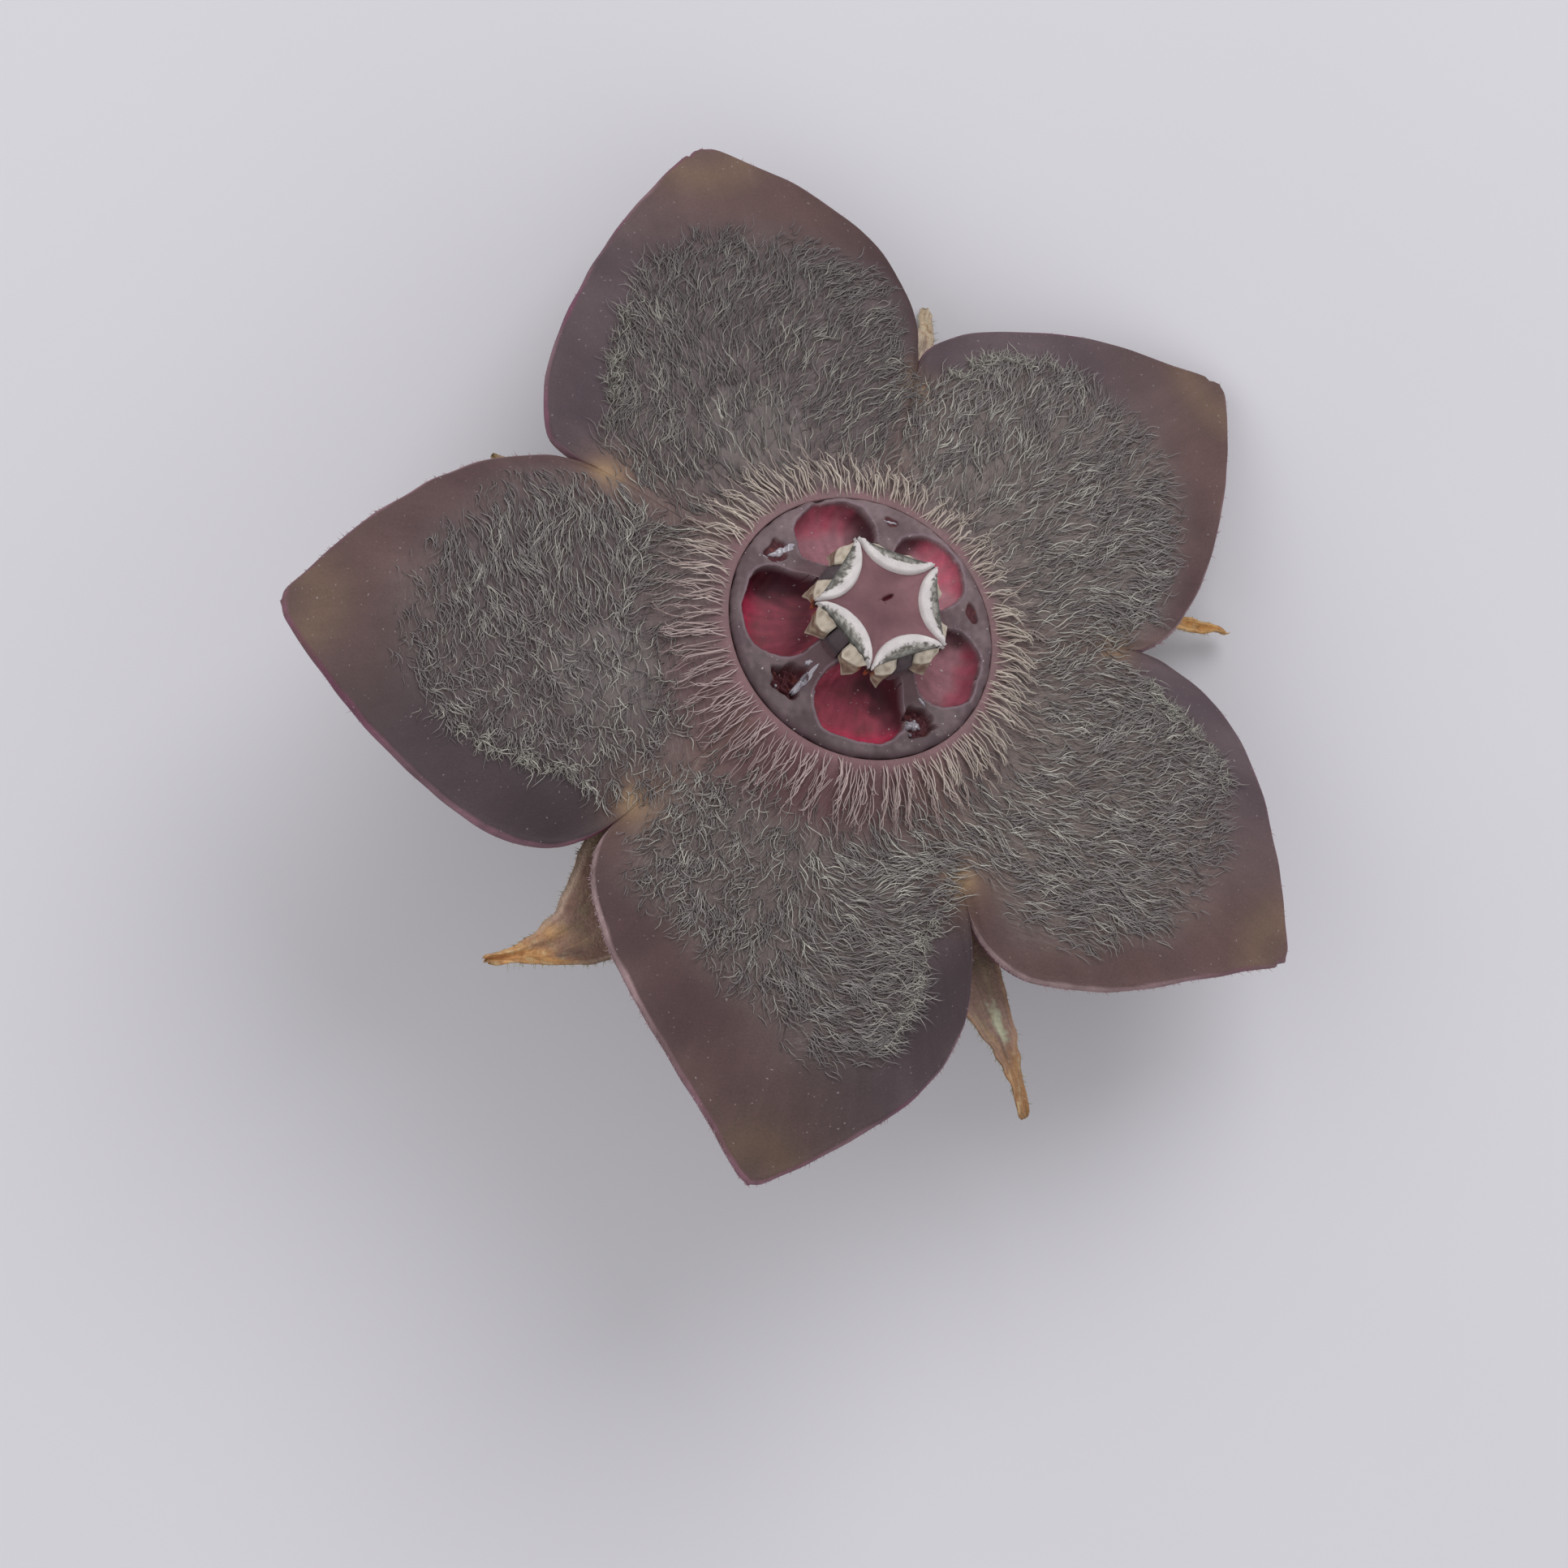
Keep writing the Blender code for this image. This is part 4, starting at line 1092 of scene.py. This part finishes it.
def crescent(number, columns=72, rows=20):
    """White tip of an anther, lying along a side of the star: a plump band inside, a mottled hollow outside."""
    tip_x, tip_y = 1.66, 1.19
    bow = ((tip_x - STAR_WAIST) ** 2 + tip_y ** 2) / (2 * (tip_x - STAR_WAIST))
    across, along = grid(np.linspace(-1, 1, columns), np.linspace(0, 1, rows))
    angle = across * math.asin(tip_y / bow)
    inner_x = STAR_WAIST + bow * (1 - np.cos(angle))
    width = np.maximum(1.62 + 0.06 * across ** 2 - inner_x, 0.07)
    into = along * width
    x = inner_x + into
    y = bow * np.sin(angle) * (1 - 0.02 * along)
    from_middle = np.abs(across)
    band = 0.34 * (1 - 0.45 * from_middle ** 1.5)
    puff = 0.15 * np.sqrt(np.clip(into / 0.08, 0, 1)) * (1 - 0.75 * smooth(band * 0.75, band * 1.35, into))
    top = HEAD_TOP + 0.02 + puff + 0.01 * ripple(x, y, 0.2, 81) - 0.10 * smooth(0.8, 1.0, from_middle)
    back = np.stack((x, y, np.full(x.shape, HEAD_TOP - 0.10)), -1)
    ragged = ripple(x, y, 0.10, 82 + number, 18) + 0.6 * ripple(x, y, 0.045, 87 + number, 18)
    mottle = smooth(band * 0.92, band * 1.12, into + 0.05 * ragged) * smooth(1.0, 0.85, from_middle)
    patches = ripple(x, y, 0.16, 92 + number, 18) + 0.7 * ripple(x, y, 0.05, 97 + number, 18)
    grey = blend("9d9a94", "5c5953", smooth(-0.9, 0.7, patches))
    grey = blend(grey, "3f3e3b", smooth(0.72, 1.0, along) * 0.75)
    white = blend("c3bdbd", "cfc9c8", smooth(-1, 1, ripple(x, y, 0.4, 83)))
    return closed_sheet(np.stack((x, y, top), -1), back), blend(white, grey, mottle), 0.8


def anther_back(number, columns=14, rows=20):
    """Back of an anther, from its white tip down to the rib of the corona, painted dark slate above as shade and
    darker still at its sides.
    """
    across, along = grid(np.linspace(-1, 1, columns), np.linspace(0, 1, rows))
    x = 1.52 + 0.30 * np.minimum(along * 1.9, 1) ** 0.8 + 0.06 * along - 0.05 * across ** 4
    y = across * (0.25 + 0.05 * along)
    z = HEAD_TOP + 0.02 - 1.2 * along ** 1.25
    rough = 0.012 * ripple(x * 3 + z, y, 0.15, 101 + number)
    front = np.stack((x + rough, y, z + rough), -1)
    back = np.stack((x - 0.2, y * 0.9, z - 0.1), -1)
    # painted shade: dark slate on the upper part, darkest at its sides, over mauve towards the rib
    shade = blend("4b4145", "594448", smooth(0.62, 0.8, along + 0.04 * ripple(y, z, 0.15, 106)))
    shade = blend(shade, "2b2225", smooth(0.75, 1.0, np.abs(across)) * smooth(0.8, 0.5, along) * 0.8)
    shade = shade * (1 + 0.12 * ripple(y, z + x, 0.09, 107 + number, 14))[..., None]
    return closed_sheet(front, back), shade, 0.7


def anther_wing(number, sign, columns=22, rows=17):
    """Pale folded wing at one end of an anther: a facet beside the white tip, a fold and a facet below."""
    rng = np.random.default_rng(200 + 2 * number + (sign > 0))
    knots = WING + rng.normal(0, 0.03, WING.shape) * np.array((0.0, 1.0, 1.0))[None, :, None]
    last = len(WING) - 1
    place, down = grid(np.linspace(0, 1, columns), np.linspace(0, 1, rows))
    column = np.minimum((place * last).astype(int), last - 1)
    row = np.minimum((down * 2).astype(int), 1)
    above, below = (blend(knots[column, row + step], knots[column + 1, row + step], place * last - column)
                    for step in (0, 1))
    tangent, x, z = split(blend(above, below, down * 2 - row))
    crumple = 0.012 * ripple(tangent, z, 0.2, 91 + number)
    front = np.stack((x + crumple, sign * tangent, z + crumple), -1)
    if sign > 0:
        front, place = front[::-1], place[::-1]
    stain = ripple(front[..., 1], front[..., 2], 0.16, 110 + number, 14)
    # lower facet: its own browner tone together with painted shade, as it turns from the light
    lower = blend("745c50", "9a8876", smooth(-0.5, 1.0, stain))
    cream = paint(blend("bdb2a2", "9f9282", smooth(-0.3, 1.1, stain)), (lower, smooth(0.49, 0.55, down)),
                  ("cec4b2", bump_at(down, 0.5, 0.05) * 0.6), ("c3b9a8", bump_at(down, 1.0, 0.07) * 0.5),
                  ("8a4a32", smooth(0.8, 1.0, place) * smooth(0.3, 0.7, down) * 0.75),
                  # painted shade at the wing's inner end, by the anther's dark back
                  ("6d665c", smooth(0.12, 0.0, place) * 0.6))
    return closed_sheet(front, front - (0.06, 0, 0.03)), cream, 0.75


def make_anther(number):
    """White tip, dark back and two pale wings of an anther. Each part comes as its skin, the colours of its
    face and how light its back is."""
    parts = (crescent(number), anther_back(number), anther_wing(number, -1), anther_wing(number, 1))
    points, faces = join([skin for skin, _, _ in parts])
    tints = [tint.reshape(-1, 3) * gain for _, tint, back_gain in parts for gain in (1, back_gain)]
    name = f"anther_{number + 1}"
    new_piece(name + "_full", (spin_points(points, STAR_HEADING + 36 + 72 * number), faces), "anther", [name],
              np.concatenate(tints), sharp=38)


def make_corpusculum(number, rings=10, spokes=16):
    """Hard dark clip at a tip of the star, flattened on its outer side."""
    drop, turn = grid(np.linspace(0.06, math.pi - 0.06, rings), np.radians(spokes_round(spokes)))
    pinch = 1 - 0.25 * bump_at(np.cos(turn), 1, 0.15)
    x = 0.075 * np.sin(drop) * np.cos(turn) * pinch
    rings = np.stack((x, 0.065 * np.sin(drop) * np.sin(turn), 0.30 * np.cos(drop)), -1)
    points, faces = capped(rings, rings[[0, -1]].mean(1) + ((0, 0, 0.01), (0, 0, -0.01)))
    place = spin_points(points + (HEAD_TIP + 0.02, 0, HEAD_TOP - 0.32), STAR_HEADING + 72 * number)
    name = f"corpusculum_{number + 1}"
    new_piece(name + "_clip", (place, faces), "corpusculum", [name],
              blend("8a4a30", "2a1614", smooth(-0.05, 0.15, points[:, 2])))


def make_column(rings=26, spokes=80):
    """Fluted column under the star."""
    share, turn = grid(np.linspace(1, 0, rings), spokes_round(spokes))
    foot = RIM_HEIGHT - 0.25
    top = HEAD_TOP - HEAD_THICKNESS + 0.02
    flute = 1 + 0.08 * np.cos(np.radians(5 * (turn - STAR_HEADING)))
    radius = COLUMN_RADIUS * (1.12 - 0.25 * np.sin(math.pi * share)) * flute + 0.25 * (1 - share) ** 3
    # painted shade: darker towards the top, under the star
    tint = blend("7a434c", "4d2a33", smooth(0, 1, share).ravel())
    skin = capped(raised(polar(turn, radius), foot + (top - foot) * share))
    new_piece("column_flesh", skin, "column", ["column"], np.concatenate((tint, np.tile(rgb("4d2a33"), (2, 1)))))


# ---------------------------------------------------------------- calyx and stalk

def sepal_sheet(number, across, along):
    """Points of a sepal's face, dried and curled towards its tip, in the flower's frame."""
    heading, reach, depth, sway, width = SEPALS[number]
    base_radius = RECEPTACLE_RADIUS + 0.3
    base_depth = SEAT_DEPTH + COROLLA_THICKNESS + 0.4
    blade = width * (0.42 + 1.5 * along) * np.maximum(1 - along, 0.004) ** 1.5
    margin = np.sign(across)
    half_width = blade * (1 + 0.12 * ripple(along * 8, margin, 1.0, 101 + number))
    half_width += SEPAL_TIP_WIDTH * along
    half_width += 0.035 * smooth(0.3, 0.8, along) * ripple(along * reach, margin * 2, 0.4, 106 + number)
    half_width *= np.minimum(1, 0.3 + (1 - along) / 0.02)
    drop = base_depth + (depth - base_depth) * along ** 1.5 + 0.45 * (1 - np.abs(across)) * (1 - along)
    dry = smooth(0.55, 1.0, along)
    fold = 0.12 * ripple(across * 2, along * 9, 1.0, 111 + number)
    fold += 0.2 * dry * np.sin(along * 17 + number * 2.1)
    fold += 0.08 * dry * ripple(across * half_width * 2, along * reach * 2, 0.9, 116 + number)
    twist = dry * math.sin(1.3 * number + 0.5) * 0.5
    sideways = across * half_width * np.cos(twist) + sway * np.maximum(0, (along - 0.76) / 0.24) ** 1.3
    lift = across * half_width * np.sin(twist)
    curl = 0.315 * smooth(0.8, 1.0, along) ** 2 * SEPAL_CURLS[number]
    place = polar(heading, base_radius + (reach - base_radius) * along) + polar(heading + 90, sideways)
    return raised(place, curl - drop + (fold + lift) * (0.25 + 0.75 * dry) * smooth(0.02, 0.25, along) * 0.8)


def make_sepal(number, columns=21, rows=110):
    """Narrow withering sepal with pale margins and a dried tan tip."""
    across, along = grid(np.linspace(-1, 1, columns), np.linspace(0, 0.995, rows))
    front = sepal_sheet(number, across, along)
    thickness = (0.10 + 0.14 * (1 - across ** 2)) * (1 - 0.5 * smooth(0.6, 1.0, along))
    back = front - thickness[..., None] * (0, 0, 1)
    wave = ripple(across * 2, along * 12, 1.0, 121 + number)
    scurf = ripple(front[..., 0], front[..., 1], 0.16, 126 + number, 14)
    blade, margin, dried = SEPAL_TINTS[number]
    tip = smooth(0.75, 0.9, along)
    colour = paint(blend("75694a", blade, smooth(0.05, 0.4, along + 0.06 * wave)),
                   ("8e8066", smooth(0.1, 1.2, wave + 0.7 * scurf) * 0.55),
                   ("5f463c", smooth(0.3, 1.4, -wave - 0.8 * scurf) * 0.5),
                   (dried, smooth(0.78, 0.9, along + 0.04 * wave) * 0.9),
                   ("8a5a34", smooth(0.2, 1.2, scurf) * tip * 0.6),
                   ("c3b690", smooth(0.2, 1.2, -scurf) * tip * 0.5),
                   (margin, smooth(0.80, 0.92, np.abs(across)) * 0.85 * smooth(0.95, 0.7, along)))
    if number == 3:
        patch = np.hypot((across - 0.25) / 0.28, (along - 0.77) / 0.055) + 0.3 * scurf
        colour = blend(colour, "aab096", smooth(1.2, 0.6, patch) * 0.7)
    colour = colour.reshape(-1, 3)
    lobe = np.stack((across * 5, along * 3, np.full(across.shape, number * 7.0)), -1).reshape(-1, 3)
    name = f"sepal_{number + 1}"
    new_piece(name + "_leaf", closed_sheet(front, back), "sepal", [name],
              np.concatenate((colour, colour * 0.85)), lobe=np.concatenate((lobe, lobe)))


def pedicel_frame(t):
    """Points, directions and radii along the stalk."""
    upright = np.array(Matrix.Rotation(-LEAN, 3, "Y"))
    top = np.array((0, 0, -SEAT_DEPTH - COROLLA_THICKNESS - 0.3))
    end = upright @ (-PEDICEL_RUN, 0, PEDICEL_RADIUS - REST_DEPTH)
    top_handle = top - (0, 0, 6.5)
    end_handle = end + upright @ (4.5, 0, 0)
    t = t[:, None]
    u = 1 - t
    slope = u * u * (top_handle - top) + 2 * u * t * (end_handle - top_handle) + t * t * (end - end_handle)
    swelling = (RECEPTACLE_RADIUS - PEDICEL_RADIUS) * (1 - smooth(0.0, 0.16, t[:, 0]))
    return bezier(t, top, top_handle, end_handle, end), unit(slope), PEDICEL_RADIUS + swelling


def pedicel_surface(t, turn):
    """Points of the stalk's skin, their outward directions and the directions along the stalk."""
    line, slope, radius = pedicel_frame(t)
    side = unit(np.cross(slope, (0, 1, 0)))
    outward = side * np.cos(turn)[:, None] + np.cross(side, slope) * np.sin(turn)[:, None]
    groove = 1 + 0.018 * np.sin(7 * turn) + 0.012 * ripple(t * 20, turn, 1.2, 131)
    return line + outward * (radius * groove * 0.985)[:, None], outward, slope


def make_pedicel(rings=90, spokes=56):
    """Stalk with its swollen top and its cut end."""
    t, turn = (part.ravel() for part in grid(np.linspace(0, 1, rings), np.radians(spokes_round(spokes))))
    skin = pedicel_surface(t, turn)[0].reshape(rings, spokes, 3)
    line, axis, _ = pedicel_frame(np.array((0.0, 1.0)))
    top, cut, heart = (line[end] + (skin[end] - line[end]) * share + axis[end] * sink
                       for end, share, sink in ((0, 0.5, 0), (-1, 0.82, -0.10), (-1, 0.45, -0.03)))
    points, faces = capped(np.concatenate((top[None], skin, cut[None], heart[None])), line)
    tint = paint(blend("7b6a52", "87864f", smooth(0.05, 0.4, t)),
                 ("6f7040", smooth(-0.5, 0.8, ripple(t * 14, turn, 1.0, 132)) * 0.5),
                 ("6d5a4b", bump_at(t, 0.12, 0.08) * 0.5))
    tops, cuts, hearts = (np.tile(rgb(code), (spokes, 1)) for code in ("7b6a52", "a9aa78", "c2c096"))
    new_piece("stalk", (points, [part[:, ::-1] for part in faces]), "pedicel", ["pedicel"],
              np.concatenate((tops, tint, cuts, hearts, (rgb("7b6a52"), rgb("b4b284")))))


def stalk_hairs(count=PEDICEL_HAIRS):
    """Roots, directions and lengths of the stalk's hairs."""
    t = RNG.uniform(0.02, 0.99, count)
    skin, outward, slope = pedicel_surface(t, RNG.uniform(0, math.tau, count))
    return skin - outward * 0.02, outward * 0.85 + slope * 0.5, RNG.uniform(0.14, 0.32, count)


def sepal_hairs(number, count=SEPAL_HAIRS):
    """The same for a sepal, half of them on its margins."""
    up = np.array((0, 0, 1.0))
    along = RNG.uniform(0.03, 0.97, count)
    across = np.where(RNG.random(count) < 0.55, RNG.choice((-1.0, 1.0), count), RNG.uniform(-1, 1, count))
    spot = sepal_sheet(number, across, along)
    out = unit(spot - sepal_sheet(number, across * 0.98, along))
    on_edge = np.abs(across)[:, None] == 1
    forward = np.append(polar(SEPALS[number][0], 1.0), 0.0)
    under = np.where(RNG.random(count) < 0.75, -1.0, 1.0)[:, None] * up
    directions = np.where(on_edge, out * 0.8 + forward * 0.55, under * 0.75 + forward * 0.6)
    return spot - np.where(on_edge, 0.05, 0.10) * up, directions, RNG.uniform(0.07, 0.18, count)


def edge_hairs(number, count):
    """The same for a lobe's edge."""
    index, side = np.full(count, number), RNG.choice((-1.0, 1.0), count, p=(0.8, 0.2))
    share = RNG.uniform(0, 0.9, count)
    edge = lobe_margin(index, side, share)
    height = corolla_height(*edge.T) - MARGIN_CURL * (1 - share ** 4) - MARGIN_THICKNESS * 0.5
    out = unit(edge) + RNG.normal(0, 0.4, (count, 2))
    directions = np.concatenate((out, RNG.uniform(-0.2, 0.9, (count, 1))), 1)
    return raised(edge * 0.998, height), directions, RNG.uniform(0.05, 0.13, count)


def make_short_hair(knots=3):
    """Down of the stalk, the sepals and the lobes' edges: short hairs that stand off and bend over a little."""
    pale = [stalk_hairs()] + [sepal_hairs(number) for number in range(5)]
    pink = [edge_hairs(number, count) for number, count in enumerate(EDGE_HAIRS)]
    roots, directions, lengths = (np.concatenate(part) for part in zip(*pale, *pink))
    is_pink = np.arange(len(roots)) >= len(roots) - sum(EDGE_HAIRS)
    ends = directions * lengths[:, None]
    clear = (in_metres(roots)[:, 2] > 0.3 * MM) & (in_metres(roots + ends)[:, 2] > 0.3 * MM)
    roots, directions, lengths, is_pink = roots[clear], directions[clear], lengths[clear], is_pink[clear]
    count = len(roots)
    radius = RNG.uniform(0.010, 0.015, count)
    t = np.linspace(0, 1, knots)[None, :, None]
    bend = RNG.normal(0, 1, (count, 1, 3)) * 0.25
    paths = roots[:, None] + (directions[:, None] * t + bend * t ** 2) * lengths[:, None, None]
    tint = blend("9a9684", "cfccbd", RNG.random(count))
    tint = np.where(is_pink[:, None], rgb("b39aa0"), tint)
    new_piece("short_hair", tubes(paths, radius), "pedicel", (), np.repeat(tint, per_hair(knots), 0), "hair")


# ---------------------------------------------------------------- stage

def make_stage():
    """Pale floor under the flower, a soft key light from its upper right, and an even sky."""
    bpy.ops.mesh.primitive_plane_add(size=4.0, location=(0, 0, CAD_BOX[0][2]))
    floor = bpy.context.object
    floor.name = "floor"
    material, tree, surface, place = new_material("floor")
    shade = spread(tree, noise_node(tree, {"Vector": place, "Scale": 40.0, "Detail": 2.0}), 0.985, 1.015)
    tone = vector_node(tree, "SCALE", {0: tuple(rgb("d3d2d8")), "Scale": shade})
    tree.links.new(tone, surface.inputs["Base Color"])
    surface.inputs["Roughness"].default_value = 0.9
    surface.inputs["Specular IOR Level"].default_value = 0.2
    floor.data.materials.append(material)
    world = bpy.data.worlds.new("sky")
    bpy.context.scene.world = world
    world.use_nodes = True
    sky = world.node_tree.nodes["Background"]
    sky.inputs["Color"].default_value = (1.0, 0.99, 1.0, 1)
    sky.inputs["Strength"].default_value = 0.66
    for name, place, size, power in LAMPS:
        lamp = bpy.data.lights.new(name, "AREA")
        lamp.shape = "DISK"
        lamp.size = size
        lamp.energy = power
        light = bpy.data.objects.new(name, lamp)
        bpy.context.scene.collection.objects.link(light)
        light.location = place
        light.rotation_euler = (-Vector(place)).to_track_quat("-Z", "Y").to_euler()


def make_camera():
    """Looks straight down, with the corona a little to the right of and above the picture's middle."""
    rim = Vector(in_metres(np.array((0, 0, RIM_HEIGHT))))
    lens = bpy.data.cameras.new("camera")
    lens.sensor_width = 36
    lens.lens = lens.sensor_width * CAMERA_DISTANCE / CAMERA_WIDTH
    lens.clip_start = 0.005
    camera = bpy.data.objects.new("camera", lens)
    bpy.context.scene.collection.objects.link(camera)
    camera.location = rim + Vector((*CAMERA_SHIFT, CAMERA_DISTANCE)) * MM
    bpy.context.scene.camera = camera


def build():
    skin = make_corolla()
    for number in range(5):
        make_wool(skin, number)
    make_ring_hair(skin)
    make_corona()
    make_nectar()
    make_column()
    make_style_head()
    for number in range(5):
        make_anther(number)
        make_corpusculum(number)
        make_sepal(number)
    make_pedicel()
    make_short_hair()
    make_stage()
    make_camera()
    bpy.context.scene.view_settings.view_transform = "Standard"


build()
